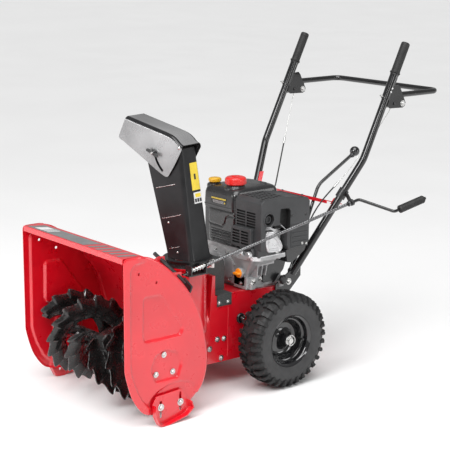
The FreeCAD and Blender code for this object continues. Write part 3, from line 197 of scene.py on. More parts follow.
GREYD = mat("decal_grey", (0.17, 0.175, 0.175), 0.36, var=0.10, vs=20, bump=0.04, coat=0.3, coat_rough=0.2)
SILD = mat("decal_silver", (0.72, 0.72, 0.72), 0.34, var=0.08, vs=20, bump=0.04, coat=0.3, coat_rough=0.2)
YELD = mat("decal_yellow", (0.80, 0.60, 0.04), 0.38, var=0.10, vs=40, bump=0.04, coat=0.3, coat_rough=0.2)
BLKD = mat("decal_black", (0.02, 0.02, 0.02), 0.36, var=0.2, vs=40, bump=0.04)
BELTM = mat("belt_rubber", (0.022, 0.021, 0.021), 0.6, var=0.2, vs=60, bump=0.4, bs=900)
WIRE = mat("wire", (0.62, 0.62, 0.60), 0.30, metal=0.9, var=0.2, vs=300, bump=0.5, bs=2500)


# ------------------------------------------------------------------ mesh helpers (working millimetres)
class Mesh:
    def __init__(s):
        s.v, s.f, s.mi = [], [], []

    def add(s, vs, fs, mi=0):
        o = len(s.v)
        s.v.extend(tuple(p) for p in vs)
        s.f.extend(tuple(i + o for i in f) for f in fs)
        s.mi.extend([mi] * len(fs))


def to_object(name, m, mats, fix=True, doubles=0.002):
    me = bpy.data.meshes.new(name)
    me.from_pydata([M3(p) for p in m.v], [], m.f)
    for x in mats:
        me.materials.append(x)
    me.polygons.foreach_set("material_index", m.mi)
    bm = bmesh.new()
    bm.from_mesh(me)
    if doubles:
        bmesh.ops.remove_doubles(bm, verts=bm.verts, dist=doubles / 1000)
    if fix:
        bmesh.ops.recalc_face_normals(bm, faces=bm.faces)
    bm.to_mesh(me)
    bm.free()
    o = bpy.data.objects.new(name, me)
    bpy.context.scene.collection.objects.link(o)
    return o


def bake(o):
    """Applies an object's modifiers to its mesh."""
    bpy.context.view_layer.update()
    dg = bpy.context.evaluated_depsgraph_get()
    me = bpy.data.meshes.new_from_object(o.evaluated_get(dg), preserve_all_data_layers=True, depsgraph=dg)
    o.modifiers.clear()
    o.data = me


def finish_obj(o, bevel=0.0, angle=35, segs=2, wn=True):
    me = o.data
    me.shade_smooth()
    if bevel:
        b = o.modifiers.new("edge", "BEVEL")
        b.width, b.segments, b.limit_method, b.angle_limit = bevel / 1000, segs, "ANGLE", rad(angle)
        b.use_clamp_overlap = True
        b.harden_normals = False
        b.miter_outer = "MITER_ARC"
        bake(o)
        me = o.data
        me.shade_smooth()
    me.set_sharp_from_angle(angle=rad(angle + 6 if not bevel else 48))
    if wn:
        w = o.modifiers.new("normals", "WEIGHTED_NORMAL")
        w.keep_sharp = True
        w.weight = 60
    return o


def piece(name, m, body, mats, replaces=(), bevel=0.0, angle=35, segs=2, cut=None, fix=True, doubles=0.002, wn=True):
    mats = mats if isinstance(mats, (list, tuple)) else [mats]
    o = to_object(name, m, mats, fix, doubles)
    if bevel and cut is not None:
        b = o.modifiers.new("edge", "BEVEL")
        b.width, b.segments, b.limit_method, b.angle_limit = bevel / 1000, segs, "ANGLE", rad(angle)
        bake(o)
        bevel = 0
    if cut is not None:
        c = to_object(name + "_cutter", cut[0], [cut[1]])
        bo = o.modifiers.new("cut", "BOOLEAN")
        bo.operation, bo.object, bo.solver = "DIFFERENCE", c, "EXACT"
        bo.material_mode = "TRANSFER"
        bake(o)
        bpy.data.objects.remove(c)
    finish_obj(o, bevel, angle, segs, wn)
    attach(o, body)
    if replaces:
        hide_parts(*([replaces] if isinstance(replaces, str) else replaces))
    return o


def dress(names, material, bevel=0.6, angle=40, segs=2):
    for n in [names] if isinstance(names, str) else names:
        o = N[n]
        o.data.materials.clear()
        o.data.materials.append(material)
        o.data.shade_smooth()
        w = o.modifiers.new("weld", "WELD")
        w.merge_threshold = 0.00001
        if bevel:
            d = o.modifiers.new("planar", "DECIMATE")
            d.decimate_type, d.angle_limit = "DISSOLVE", rad(0.6)
            b = o.modifiers.new("edge", "BEVEL")
            b.width, b.segments, b.limit_method, b.angle_limit = bevel / 1000, segs, "ANGLE", rad(angle)
        e = o.modifiers.new("normals", "WEIGHTED_NORMAL")
        e.keep_sharp = False
        e.weight = 80


def rpoly(pts, r, n=5):
    """A closed 2-D outline with rounded corners. r is one radius or one per corner."""
    k = len(pts)
    R = r if isinstance(r, (list, tuple)) else [r] * k
    out = []
    for i in range(k):
        p, a, b = V(*pts[i], 0), V(*pts[i - 1], 0), V(*pts[(i + 1) % k], 0)
        da, db = (a - p), (b - p)
        la, lb = da.length, db.length
        da.normalize(), db.normalize()
        ang = da.angle(db)
        t = min(R[i] / max(math.tan(ang / 2), 1e-6), la * 0.49, lb * 0.49)
        if t < 0.05 or abs(ang - pi) < 0.02:
            out.append((p.x, p.y))
            continue
        rr = t * math.tan(ang / 2)
        c = p + (da + db).normalized() * (rr / sin(ang / 2))
        s, e = p + da * t, p + db * t
        a0 = math.atan2(s.y - c.y, s.x - c.x)
        a1 = math.atan2(e.y - c.y, e.x - c.x)
        d = (a1 - a0 + pi) % (2 * pi) - pi
        for j in range(n + 1):
            q = a0 + d * j / n
            out.append((c.x + rr * cos(q), c.y + rr * sin(q)))
    return out


def spline2(pts, n):
    """n points along a smooth Catmull-Rom curve through pts."""
    P = np.array(pts, float)
    Q = np.vstack([2 * P[0] - P[1], P, 2 * P[-1] - P[-2]])
    fine = []
    for i in range(1, len(Q) - 2):
        for t in np.linspace(0, 1, 24, endpoint=False):
            a, b, c, d = Q[i - 1], Q[i], Q[i + 1], Q[i + 2]
            fine.append(0.5 * ((2 * b) + (-a + c) * t + (2 * a - 5 * b + 4 * c - d) * t * t + (-a + 3 * b - 3 * c + d) * t ** 3))
    fine.append(P[-1])
    F = np.array(fine)
    s = np.concatenate([[0], np.cumsum(np.linalg.norm(np.diff(F, axis=0), axis=1))])
    g = np.linspace(0, s[-1], n)
    return [tuple(np.interp(x, s, F[:, k]) for k in range(F.shape[1])) for x in g]


def fillet(pts, r, da=6):
    """A 3-D line with its corners turned into arcs."""
    P = [V(*p) for p in pts]
    R = r if isinstance(r, (list, tuple)) else [r] * (len(P) - 2)
    out = [P[0]]
    for i in range(1, len(P) - 1):
        a, b = (P[i - 1] - P[i]).normalized(), (P[i + 1] - P[i]).normalized()
        ang = a.angle(b)
        turn = pi - ang
        if turn < 0.01:
            out.append(P[i])
            continue
        t = min(R[i - 1] * math.tan(turn / 2), (P[i - 1] - P[i]).length * 0.6, (P[i + 1] - P[i]).length * 0.6)
        rr = t / math.tan(turn / 2)
        c = P[i] + (a + b).normalized() * (rr / cos(turn / 2))
        s, e = P[i] + a * t - c, P[i] + b * t - c
        k = max(2, int(math.degrees(turn) / da) + 1)
        ax = s.cross(e).normalized()
        for j in range(k + 1):
            out.append(c + Matrix.Rotation(turn * j / k, 3, ax) @ s)
    out.append(P[-1])
    return out


def tube(m, pts, r, n=24, mi=0, cap=True, twist=None, flat=None):
    P = [V(*p) for p in pts]
    k = len(P)
    R = r if isinstance(r, (list, tuple)) else [r] * k
    T = [(P[min(i + 1, k - 1)] - P[max(i - 1, 0)]).normalized() for i in range(k)]
    u = T[0].orthogonal().normalized()
    rings, s = [], 0.0
    for i in range(k):
        u = (u - T[i] * u.dot(T[i])).normalized()
        w = T[i].cross(u)
        if i:
            s += (P[i] - P[i - 1]).length
        ring = []
        for j in range(n):
            a = 2 * pi * j / n
            q = R[i] * (twist(a, s) if twist else 1.0)
            ring.append(P[i] + u * (q * cos(a)) + w * (q * sin(a)))
        rings.append(ring)
    vs = [p for ring in rings for p in ring]
    fs = [(i * n + j, i * n + (j + 1) % n, (i + 1) * n + (j + 1) % n, (i + 1) * n + j) for i in range(k - 1) for j in range(n)]
    if cap:
        fs.append(tuple(range(n - 1, -1, -1)))
        fs.append(tuple((k - 1) * n + j for j in range(n)))
    m.add(vs, fs, mi)


def lathe(m, prof, o, ax, n=64, mi=0, closed=False, mod=None):
    o, ax = V(*o), V(*ax).normalized()
    u = ax.orthogonal().normalized() if abs(ax.x) < 0.9 else V(0, 1, 0)
    w = ax.cross(u)
    vs, idx = [], []
    for a, r in prof:
        if r < 1e-6:
            idx.append([len(vs)] * n)
            vs.append(o + ax * a)
        else:
            idx.append(list(range(len(vs), len(vs) + n)))
            for j in range(n):
                t = 2 * pi * j / n
                q = r * (mod(a, r, t) if mod else 1.0)
                vs.append(o + ax * a + u * (q * cos(t)) + w * (q * sin(t)))
    fs = []
    for i in range(len(prof) - (0 if closed else 1)):
        A, B = idx[i], idx[(i + 1) % len(prof)]
        for j in range(n):
            q = [A[j], A[(j + 1) % n], B[(j + 1) % n], B[j]]
            q = [x for t, x in enumerate(q) if x not in q[:t]]
            if len(q) > 2:
                fs.append(tuple(q))
    m.add(vs, fs, mi)


def prism(m, pts, vec, mi=0):
    vec = V(*vec)
    n = len(pts)
    vs = [V(*p) for p in pts] + [V(*p) + vec for p in pts]
    m.add(vs, [tuple(range(n - 1, -1, -1)), tuple(range(n, 2 * n))] + [(i, (i + 1) % n, n + (i + 1) % n, n + i) for i in range(n)], mi)


def yz(m, outline, x0, x1, mi=0):
    prism(m, [(x0, y, z) for y, z in outline], (x1 - x0, 0, 0), mi)


def xz(m, outline, y0, y1, mi=0):
    prism(m, [(x, y0, z) for x, z in outline], (0, y1 - y0, 0), mi)


def xy(m, outline, z0, z1, mi=0):
    prism(m, [(x, y, z0) for x, y in outline], (0, 0, z1 - z0), mi)


def block(m, x0, x1, y0, y1, z0, z1, r=0.0, axis="z", mi=0):
    if axis == "z":
        xy(m, rpoly([(x0, y0), (x1, y0), (x1, y1), (x0, y1)], r) if r else [(x0, y0), (x1, y0), (x1, y1), (x0, y1)], z0, z1, mi)
    elif axis == "x":
        yz(m, rpoly([(y0, z0), (y1, z0), (y1, z1), (y0, z1)], r) if r else [(y0, z0), (y1, z0), (y1, z1), (y0, z1)], x0, x1, mi)
    else:
        xz(m, rpoly([(x0, z0), (x1, z0), (x1, z1), (x0, z1)], r) if r else [(x0, z0), (x1, z0), (x1, z1), (x0, z1)], y0, y1, mi)


def bolt(m, at, ax, r=6.5, h=5.0, washer=True, mi=0, round_head=False):
    """A hexagon head with its chamfer on a washer, or a domed head."""
    at, ax = V(*at), V(*ax).normalized()
    b = 0.0
    if washer:
        lathe(m, [(0, 0), (0, r * 1.45), (0.9, r * 1.5), (1.5, r * 1.42), (1.5, 0)], at, ax, 28, mi)
        b = 1.4
    if round_head:
        lathe(m, [(b, 0), (b, r)] + [(b + h * sin(t), r * cos(t)) for t in np.linspace(0.15, 1.45, 6)] + [(b + h, 0)], at, ax, 28, mi)
        return
    o = V(*at) + ax * b
    u = ax.orthogonal().normalized()
    w = ax.cross(u)
    rings = []
    for a, q in ((0, 1.0), (h * 0.78, 1.0), (h, 0.86)):
        rings.append([o + ax * a + u * (r * q * cos(k * pi / 3)) + w * (r * q * sin(k * pi / 3)) for k in range(6)])
    vs = [p for g in rings for p in g]
    fs = [tuple(range(5, -1, -1)), tuple(range(12, 18))]
    for i in range(2):
        fs += [(i * 6 + j, i * 6 + (j + 1) % 6, i * 6 + 6 + (j + 1) % 6, i * 6 + 6 + j) for j in range(6)]
    m.add(vs, fs, mi)
    lathe(m, [(b + h - 0.2, 0), (b + h - 0.2, r * 0.55), (b + h + 1.2, r * 0.5), (b + h + 1.2, 0)], at, ax, 18, mi)


# ---- 2-D distance tools for pressed sheet
def _seg_d(P, a, b):
    a, b = np.array(a, float), np.array(b, float)
    d = b - a
    t = np.clip(((P - a) @ d) / max(d @ d, 1e-9), 0, 1)
    return np.linalg.norm(P - (a + t[:, None] * d), axis=1)


def d_line(P, pts, closed=False):
    pts = list(pts) + ([pts[0]] if closed else [])
    return np.min([_seg_d(P, pts[i], pts[i + 1]) for i in range(len(pts) - 1)], axis=0)


def inside(P, poly):
    x, y = P[:, 0], P[:, 1]
    c = np.zeros(len(P), bool)
    for i in range(len(poly)):
        (x1, y1), (x2, y2) = poly[i - 1], poly[i]
        if y1 == y2:
            continue
        c ^= ((y1 > y) != (y2 > y)) & (x < (x2 - x1) * (y - y1) / (y2 - y1) + x1)
    return c


def sdf(P, poly):
    d = d_line(P, poly, True)
    return np.where(inside(P, poly), -d, d)


def ss(x):
    x = np.clip(x, 0, 1)
    return x * x * (3 - 2 * x)


def even(poly, step):
    """Points evenly along a closed outline."""
    P = np.array(list(poly) + [poly[0]], float)
    s = np.concatenate([[0], np.cumsum(np.linalg.norm(np.diff(P, axis=0), axis=1))])
    n = max(8, int(s[-1] / step))
    g = np.linspace(0, s[-1], n, endpoint=False)
    return [(float(np.interp(x, s, P[:, 0])), float(np.interp(x, s, P[:, 1]))) for x in g]


def sheet(m, outline, holes, height, place, thick, coarse=12.0, fine=3.0, near=(), band=13.0, mi=0, mi_in=None, mi_fn=None):
    """A pressed sheet: outline and holes are 2-D loops, height(P) is how far it stands out, place(u, v, h) puts it in space."""
    O = np.array(outline)
    lo, hi = O.min(0), O.max(0)
    def grid(st, jit=0.0):
        gx, gy = np.meshgrid(np.arange(lo[0] + st / 2, hi[0], st), np.arange(lo[1] + st / 2, hi[1], st))
        gx = gx + (np.arange(gx.shape[0]) % 2)[:, None] * st * 0.5
        return np.column_stack([gx.ravel(), gy.ravel()])
    def ok(P, gap):
        keep = sdf(P, outline) < -gap
        for h in holes:
            keep &= sdf(P, h) > gap
        return P[keep]
    G = ok(grid(coarse), coarse * 0.35)
    pts = []
    if near:
        F = ok(grid(fine), fine * 0.5)
        d = np.min([d_line(F, l, c) for l, c in near], axis=0)
        F = F[d < band]
        dg = np.min([d_line(G, l, c) for l, c in near], axis=0)
        G = G[dg > band + fine * 0.4]
        pts = [tuple(p) for p in F]
    pts += [tuple(p) for p in G]
    vs, ed = [], []
    for loop in [outline] + list(holes):
        o = len(vs)
        vs += [tuple(p) for p in loop]
        ed += [(o + i, o + (i + 1) % len(loop)) for i in range(len(loop))]
    vs += pts
    v2, _, tris, _, _, _ = geometry.delaunay_2d_cdt([Vector((float(a), float(b))) for a, b in vs], ed, [], 0, 1e-4)
    Q = np.array([tuple(p) for p in v2], float)
    T = np.array([t for t in tris if len(t) == 3], int)
    C = Q[T].mean(1)
    keep = inside(C, outline)
    for h in holes:
        keep &= ~inside(C, h)
    T = T[keep]
    H = height(Q)
    n = len(Q)
    vtop = [place(Q[i][0], Q[i][1], H[i]) for i in range(n)]
    vbot = [place(Q[i][0], Q[i][1], H[i] - thick) for i in range(n)]
    a = Q[T[:, 1]] - Q[T[:, 0]]
    b = Q[T[:, 2]] - Q[T[:, 0]]
    flip = (a[:, 0] * b[:, 1] - a[:, 1] * b[:, 0]) < 0
    T[flip] = T[flip][:, ::-1]
    fs = [tuple(t) for t in T] + [tuple(t[::-1] + n) for t in T]
    count = {}
    for t in T:
        for i in range(3):
            k = (t[i], t[(i + 1) % 3])
            count[k] = count.get(k, 0) + 1
    rim = [(x, y) for (x, y) in count if (y, x) not in count]
    mis = ([mi] * len(T) if mi_fn is None else [mi_fn(c) for c in Q[T].mean(1)]) + [mi if mi_in is None else mi_in] * len(T)
    fs += [(x, x + n, y + n, y) for x, y in rim]
    mis += [mi] * len(rim)
    o = len(m.v)
    m.v.extend(tuple(p) for p in vtop + vbot)
    m.f.extend(tuple(int(i) + o for i in f) for f in fs)
    m.mi.extend(mis)


def tidy(m):
    """Drops unused points."""
    used = sorted({i for f in m.f for i in f})
    mp = {a: b for b, a in enumerate(used)}
    m.v = [m.v[i] for i in used]
    m.f = [tuple(mp[i] for i in f) for f in m.f]
    return m


# ================================================================== auger housing
ARC = [(-423, 50), (-383, 87), (-364, 130), (-358, 175), (-361, 217), (-377, 297), (-405, 368), (-448, 435), (-508, 497), (-569, 541), (-618, 557)]
FRONT = [(-684, 199), (-674, 158), (-657, 109), (-631, 68), (-608, 47), (-573, 36)]
arc_d = spline2(ARC, 60)
front_d = spline2(FRONT, 18)
plate_out = even(arc_d + [(-672, 557), (-680, 554), (-684, 546)] + front_d + [(-560, 35.5)], 7.0)
TRAP = rpoly([(-611, 427), (-540, 425), (-449, 297), (-466, 275), (-607, 275), (-614, 298)], [16, 26, 20, 14, 14, 20], 6)
DEE = rpoly([(-584, 186), (-568, 138), (-474, 138), (-456, 186), (-474, 228), (-529, 243), (-566, 230)], [30, 16, 16, 30, 34, 34, 34], 6)
ARCH = rpoly([(-597, 18), (-592, 84), (-560, 112), (-516, 127), (-463, 129), (-428, 118), (-404, 98), (-392, 60), (-404, 18)], [20, 24, 40, 40, 24, 24, 20, 20, 20], 6)
BAND = rpoly([(-590, 533), (-642, 531), (-656, 516), (-658, 199), (-648, 164), (-632, 122), (-611, 88), (-586, 65), (-556, 55), (-556, -20), (-760, -20), (-760, 620), (-590, 620)], [1, 10, 14, 60, 60, 60, 60, 40, 1, 1, 1, 1, 1], 5)
holes_p = [even(rpoly([(y - 4.5, z - 4.5), (y + 4.5, z - 4.5), (y + 4.5, z + 4.5), (y - 4.5, z + 4.5)], 3.0), 2.5) for y, z in ((-625, 501), (-559, 464))]


def plate_h(P):
    y, z = P[:, 0], P[:, 1]
    h = 6.0 * ss(-sdf(P, BAND) / 5.0)
    h = h * np.where(z > 480, ss((-592 - y) / 42), 1) * np.where(z < 150, ss((-556 - y) / 40), 1)
    h = h - 7.0 * ss(-sdf(P, TRAP) / 8.0)
    h = h - 6.5 * ss(-sdf(P, DEE) / 7.0)
    h = h - 3.2 * ss(-sdf(P, ARCH) / 7.0)
    e = d_line(P, plate_out, True)
    rear = ss((y + 640) / 40)
    h = h + 1.4 * rear * np.exp(-((e - 7.5) / 3.0) ** 2)
    return h - 1.6 * (1 - ss(e / 3.5))


near_l = [(TRAP, True), (DEE, True), (ARCH, True), (BAND[5:-8], False), (plate_out, True)]
for side, s in (("left", 1), ("right", -1)):
    m = Mesh()
    sheet(m, plate_out, holes_p, plate_h, lambda u, v, h, s=s: (s * (W2 + h), u, v), 2.6, coarse=14, fine=3.4, near=near_l, band=11)
    piece("plate_" + side, tidy(m), "chassis", RED, "side_plate_" + side, angle=40)

# the back and top sheet keeps its own shape; pressed ribs stand on its inside
dress(["auger_housing", "impeller_housing", "scraper_bar", "drive_frame", "shift_panel", "skid_shoe_left", "skid_shoe_right"], RED, 0.7)
ribm = Mesh()
inner = [(p[0] - 6.0, p[1]) for p in arc_d]


def arc_off(d):
    out = []
    for i, p in enumerate(arc_d):
        a, b = V(*arc_d[max(i - 1, 0)]), V(*arc_d[min(i + 1, len(arc_d) - 1)])
        t = (b - a).normalized()
        out.append((p[0] - t.y * d, p[1] + t.x * d))
    return out


o5 = arc_off(6.0)
for xc in (-262, 262):
    rings = []
    seq = [i for i in range(len(o5)) if 200 < o5[i][1] < 536]
    for q, i in enumerate(seq):
        a, b = V(*o5[max(i - 1, 0)]), V(*o5[min(i + 1, len(o5) - 1)])
        t = (b - a).normalized()
        nrm = V(-t.y, t.x)
        k = min(1.0, q / 4, (len(seq) - 1 - q) / 3)
        ring = []
        for j in range(9):
            f = j / 8 * 2 - 1
            hh = 5.5 * k * (1 - f * f) ** 1.2
            ring.append((xc + f * 13, o5[i][0] + nrm.x * (hh - 0.6), o5[i][1] + nrm.y * (hh - 0.6)))
        rings.append(ring)
    vs = [p for g in rings for p in g]
    fs = [(i * 9 + j, i * 9 + j + 1, (i + 1) * 9 + j + 1, (i + 1) * 9 + j) for i in range(len(rings) - 1) for j in range(8)]
    n0 = len(vs)
    vs += [(p[0], p[1] + 1.2, p[2]) for p in vs]
    fs += [tuple(n0 + x for x in f[::-1]) for f in fs]
    ribm.add(vs, fs)
piece("housing_ribs", ribm, "chassis", RED, angle=60, fix=False)

# generic bands on the top sheet
dm = Mesh()


def top_quad(m, pts, mi, z=557.25, t=0.35):
    prism(m, [(x, y, z) for x, y in pts], (0, 0, t), mi)


top_quad(dm, [(-272, -676), (60, -676), (60 + 26, -624), (-246, -624)], 0)
for k in range(5):
    x = 84 + k * 38
    top_quad(dm, [(x, -676), (x + 18, -676), (x + 44, -624), (x + 26, -624)], 0)
top_quad(dm, [(-238, -668), (-196, -668), (-176, -632), (-218, -632)], 1, 557.3, 0.5)
top_quad(dm, [(-186, -668), (-178, -668), (-158, -632), (-166, -632)], 1, 557.3, 0.5)
top_quad(dm, [(-168, -668), (-160, -668), (-140, -632), (-148, -632)], 1, 557.3, 0.5)
piece("top_bands", dm, "chassis", [GREYD, SILD], angle=30)

# turned-over lip along the top sheet's front edge
lm = Mesh()
tube(lm, [(-W2 + 4, -681.6, 555.2), (W2 - 4, -681.6, 555.2)], 2.2, 12)
piece("top_lip", lm, "chassis", RED, angle=50)

# fasteners of the housing
bm_ = Mesh()
for s in (1, -1):
    for y, z in ((-528, 224), (-559.5, 165), (-494, 162)):
        bolt(bm_, (s * (W2 - 5.6), y, z), (s, 0, 0), 6.6, 5, True)
    for y, z in ((-550, 58), (-473, 59)):
        bolt(bm_, (s * (W2 + 7.0), y, z), (s, 0, 0), 8.2, 6, True)
        tube(bm_, [(s * (W2 - 6), y, z), (s * (W2 + 8), y, z)], 3.9, 16)
    for y, z in ((-193, 170), (-164, 168), (-176, 101), (-226, 142)):
        bolt(bm_, (s * 135.2, y, z), (s, 0, 0), 6.8, 4.6, True)
for x in (-215, -70, 70, 215):
    pass
piece("housing_screws", bm_, "chassis", ZINC, "housing_bolts", bevel=0.35, angle=28)
dress("auger_bearings", CAST, 0.5)
dress("auger_gearbox", AUG, 0.8)
dress(["auger_shaft"], AUG, 0.5)
dress("clean_out_tool", BLACK2, 0.6)

# ================================================================== auger flights
AY, AZ, AR = -529.0, 183.0, 146.0


def saw(t, depth):
    """Height of the toothed edge: a slow rise, a sharp hooked drop."""
    f = t - math.floor(t)
    return depth * (ss(np.array(min(f / 0.72, 1.0))) if f < 0.72 else 1 - ss(np.array((f - 0.72) / 0.10))) if f < 0.82 else 0.0


for side, s in (("left", 1), ("right", -1)):
    m = Mesh()
    x0, x1, turns = 44.0, 264.0, 1.0
    for ph in (0.0, pi):
        n, c = 420, 12
        rings = []
        for i in range(n + 1):
            k = i / n
            a = ph + 2.65 + 2 * pi * turns * k
            x = s * (x0 + (x1 - x0) * k)
            taper = min(1.0, (i + 6) / 34, (n - i + 6) / 34)
            rin = 64 + (1 - taper) * 22
            rout = AR - 14 + float(saw(k * 15, 13.4)) - (1 - taper) * 16
            top, bot = [], []
            for j in range(c + 1):
                f = j / c
                rr = rin + (rout - rin) * f
                dish = 13.0 * (4 * f * (1 - f)) - 5.0 + 4.0 * f
                dx = -s * dish
                top.append((x + dx - 2.0, rr * cos(a), rr * sin(a)))
                bot.append((x + dx + 2.0, rr * cos(a), rr * sin(a)))
            rings.append(top + bot[::-1])
        L = 2 * (c + 1)
        vs = [(p[0], AY + p[1], AZ + p[2]) for g in rings for p in g]
        fs = [(i * L + j, i * L + (j + 1) % L, (i + 1) * L + (j + 1) % L, (i + 1) * L + j) for i in range(n) for j in range(L)]
        fs += [tuple(range(L - 1, -1, -1)), tuple(n * L + j for j in range(L))]
        m.add(vs, fs)
        for k in (0.12, 0.5, 0.88):
            a = ph + 2.65 + 2 * pi * turns * k
            x = s * (x0 + (x1 - x0) * k)
            rows = []
            for q in range(13):
                f = q / 12
                r = 16 + (78 - 16) * f
                hw = 15 + 2 * (1 - f) + 26 * max(0, f - 0.62) ** 2 / 0.144 * 0.8
                row = []
                for j in range(7):
                    g = j / 6 * 2 - 1
                    aa = a + g * hw / max(r, 40)
                    sx = s * (x1 - x0) / (2 * pi * turns) * (aa - a) * ss(np.array(f))
                    bow = 5.0 * (1 - g * g) * sin(pi * f)
                    row.append((x + float(sx) * 1.0 + s * bow, r, aa))
                rows.append(row)
            vt, k7 = [], 7
            for dxx in (-2.4, 2.4):
                for row in rows:
                    for (xx, r, aa) in row:
                        vt.append((xx + dxx, AY + r * cos(aa), AZ + r * sin(aa)))
            R7 = len(rows)
            f_ = [(i * 7 + j, i * 7 + j + 1, (i + 1) * 7 + j + 1, (i + 1) * 7 + j) for i in range(R7 - 1) for j in range(6)]
            o_ = R7 * 7
            f_ += [tuple(o_ + v for v in q[::-1]) for q in f_]
            per = [j for j in range(7)] + [i * 7 + 6 for i in range(1, R7)] + [(R7 - 1) * 7 + j for j in range(5, -1, -1)] + [i * 7 for i in range(R7 - 2, 0, -1)]
            f_ += [(per[i], per[(i + 1) % len(per)], o_ + per[(i + 1) % len(per)], o_ + per[i]) for i in range(len(per))]
            m.add(vt, f_)
    lathe(m, [(38, 14.2), (38, 19), (40, 21), (W2 - 32, 21), (W2 - 30, 19), (W2 - 30, 14.2)], (0, AY, AZ), (s, 0, 0), 40, closed=True)
    for xx in (52, 250):
        bolt(m, (s * xx, AY, AZ + 21), (0, 0, 1), 6, 4, True)
        bolt(m, (s * xx, AY, AZ - 21), (0, 0, -1), 6, 4, True)
    piece("flight_" + side, m, "auger", AUG, "auger_flight_" + side, angle=38, doubles=0)
dress("impeller", RED, 0.6)
dress(["impeller_shaft", "impeller_pulley", "hex_shaft", "drive_disc", "axle_gear", "crank_pulleys"], STEEL, 0.5)
dress("friction_wheel", CAST, 0.5)
dress("drive_belts", BELTM, 0.5)
dress("axle_bushings", STEEL, 0.4)
dress("drive_axle", ZINC, 0.6)

# ================================================================== chute
CX, CY = 92.0, -286.0
BETA = rad(11.5)
DU, DW = V(-cos(BETA), -sin(BETA), 0), V(sin(BETA), -cos(BETA), 0)


def cp(u, w, z):
    return V(CX, CY, 0) + DU * u + DW * w + V(0, 0, z)


m = Mesh()
S, zb = 26, 465.5
rings = []
for i in range(S + 1):
    k = i / S
    u0, u1 = -60 + 58 * k, 38 + 114 * k
    w = 52 - 12 * k
    zA, zB = zb + (829 - zb) * k, zb + (815 - zb) * k
    r = 15 - 2 * k
    flare = 3.0 * math.exp(-k * 26)

    def line(off):
        q = []
        rr = max(r - off, 1.5)
        for t in (1.0, 0.8, 0.6, 0.4, 0.2, 0.08):
            q.append((u0 + off + rr + (u1 - u0 - off - rr) * t, w - off + flare))
        for j in range(9):
            a = j * pi / 16
            q.append((u0 + off + rr - rr * sin(a) - flare * sin(a), w - off - rr + rr * cos(a) + flare * cos(a)))
        for t in (0.75, 0.5, 0.25):
            q.append((u0 + off - flare, (w - off - rr) * t))
        return q

    def loop(off):
        h = line(off)
        return h + [(u0 + off - flare, 0.0)] + [(a, -b) for a, b in h[::-1]]

    def at(q):
        return cp(q[0], q[1], zA + (zB - zA) * (q[0] - u0) / (u1 - u0))

    rings.append([at(q) for q in loop(0)] + [at(q) for q in loop(2.4)][::-1])
L = len(rings[0])
fs = [(i * L + j, i * L + (j + 1) % L, (i + 1) * L + (j + 1) % L, (i + 1) * L + j) for i in range(S) for j in range(L)]
h = L // 2
caps = []
for o in (0, S * L):
    caps += [(o + j, o + j + 1, o + L - 2 - j, o + L - 1 - j) for j in range(h - 1)]
m.add([p for g in rings for p in g], fs + caps)
# hinge ears of the deflector and the base flange
for sg in (1, -1):
    prism(m, [cp(u, sg * 37.4, z) for u, z in rpoly([(22, 795), (22, 826), (2, 838.5), (-9, 838.8), (-12, 832), (-4, 818), (8, 795)], 3)], DW * (sg * 2.6))
fl = [(0, 66), (0, 82), (0.6, 83), (2.4, 83), (3.0, 82), (3.0, 66)]
lathe(m, [(a + 463.0, r) for a, r in fl], (CX, CY, 0), (0, 0, 1), 120, closed=True)
piece("chute_channel", m, "chute_turret", CHUTE, "chute", angle=34)
sm = Mesh()
# bright zinc strips as a painted highlight along the pressed slots, and rivets on both cheeks
for sg in (1, -1):
    for px0, px1, zz0, zz1 in ((98.9, 16.4, 690.4, 712.7), (69.7, -11.6, 592.0, 615.4), (35.3, -7.1, 496.0, 508.2)):
        a, b = cp(px0, 0, zz0), cp(px1, 0, zz1)
        for q, (p, z) in enumerate(((px0, zz0), (px1, zz1))):
            pass
        k0, k1 = (zz0 - zb) / 364, (zz1 - zb) / 364
        wa, wb = 52 - 12 * k0 - 1.0, 52 - 12 * k1 - 1.0
        tube(sm, [cp(px0, sg * wa, zz0), cp((px0 + px1) / 2, sg * ((wa + wb) / 2 + 0.5), (zz0 + zz1) / 2), cp(px1, sg * wb, zz1)], 1.5, 12, mi=0)
    for pu, pz in ((42.0, 582.0), (-0.1, 488.0)):
        k0 = (pz - zb) / 364
        lathe(sm, [(-2, 0), (-2, 4.2), (0.3, 4.2), (1.2, 3.6), (1.9, 2.2), (2.2, 0)], cp(pu, sg * (52 - 12 * k0), pz), DW * sg, 20)
for sg in (1, -1):
    lathe(sm, [(0, 0), (0, 5.5), (1.2, 6.0), (2.2, 5.5), (3.4, 3.5), (3.8, 0)], cp(-5, sg * 48.9, 835), DW * sg, 24)
piece("chute_rivets_and_slot_highlights", sm, "chute_turret", ZINC, angle=40)
# plain labels on the back wall, with no lettering
dm = Mesh()


def back_at(t, k, off):
    """A place on the chute's back wall: t across, k up."""
    u0 = -60 + 58 * k
    w = 52 - 12 * k
    n = V(-1, 0, 0)
    return cp(u0 - off, t * w, zb + (829 - zb) * k)


def label(t0, t1, k0, k1, off, mi, skew=0.0):
    a = [back_at(t0, k0, off), back_at(t1, k0, off), back_at(t1, k1, off), back_at(t0, k1, off)]
    prism(dm, a, -DU * 0.35, mi)


label(-0.76, 0.10, 0.62, 0.865, 0.25, 0)
label(-0.44, -0.24, 0.715, 0.765, 0.55, 1)
label(-0.84, 0.02, 0.50, 0.60, 0.25, 2)
label(-0.72, -0.14, 0.555, 0.588, 0.55, 0)
for q in range(3):
    label(-0.76 + q * 0.26, -0.76 + q * 0.26 + 0.2, 0.512, 0.544, 0.55, 1)
piece("chute_labels", dm, "chute_turret", [YELD, BLKD, SILD], angle=30)
dress("chute_ring", BLACK2, 0.7)
dress("chute_clamps", WHITE, 1.0)

# deflector: a folded cap with rounded edges
def lerp(a, b, t):
    return a + (b - a) * t


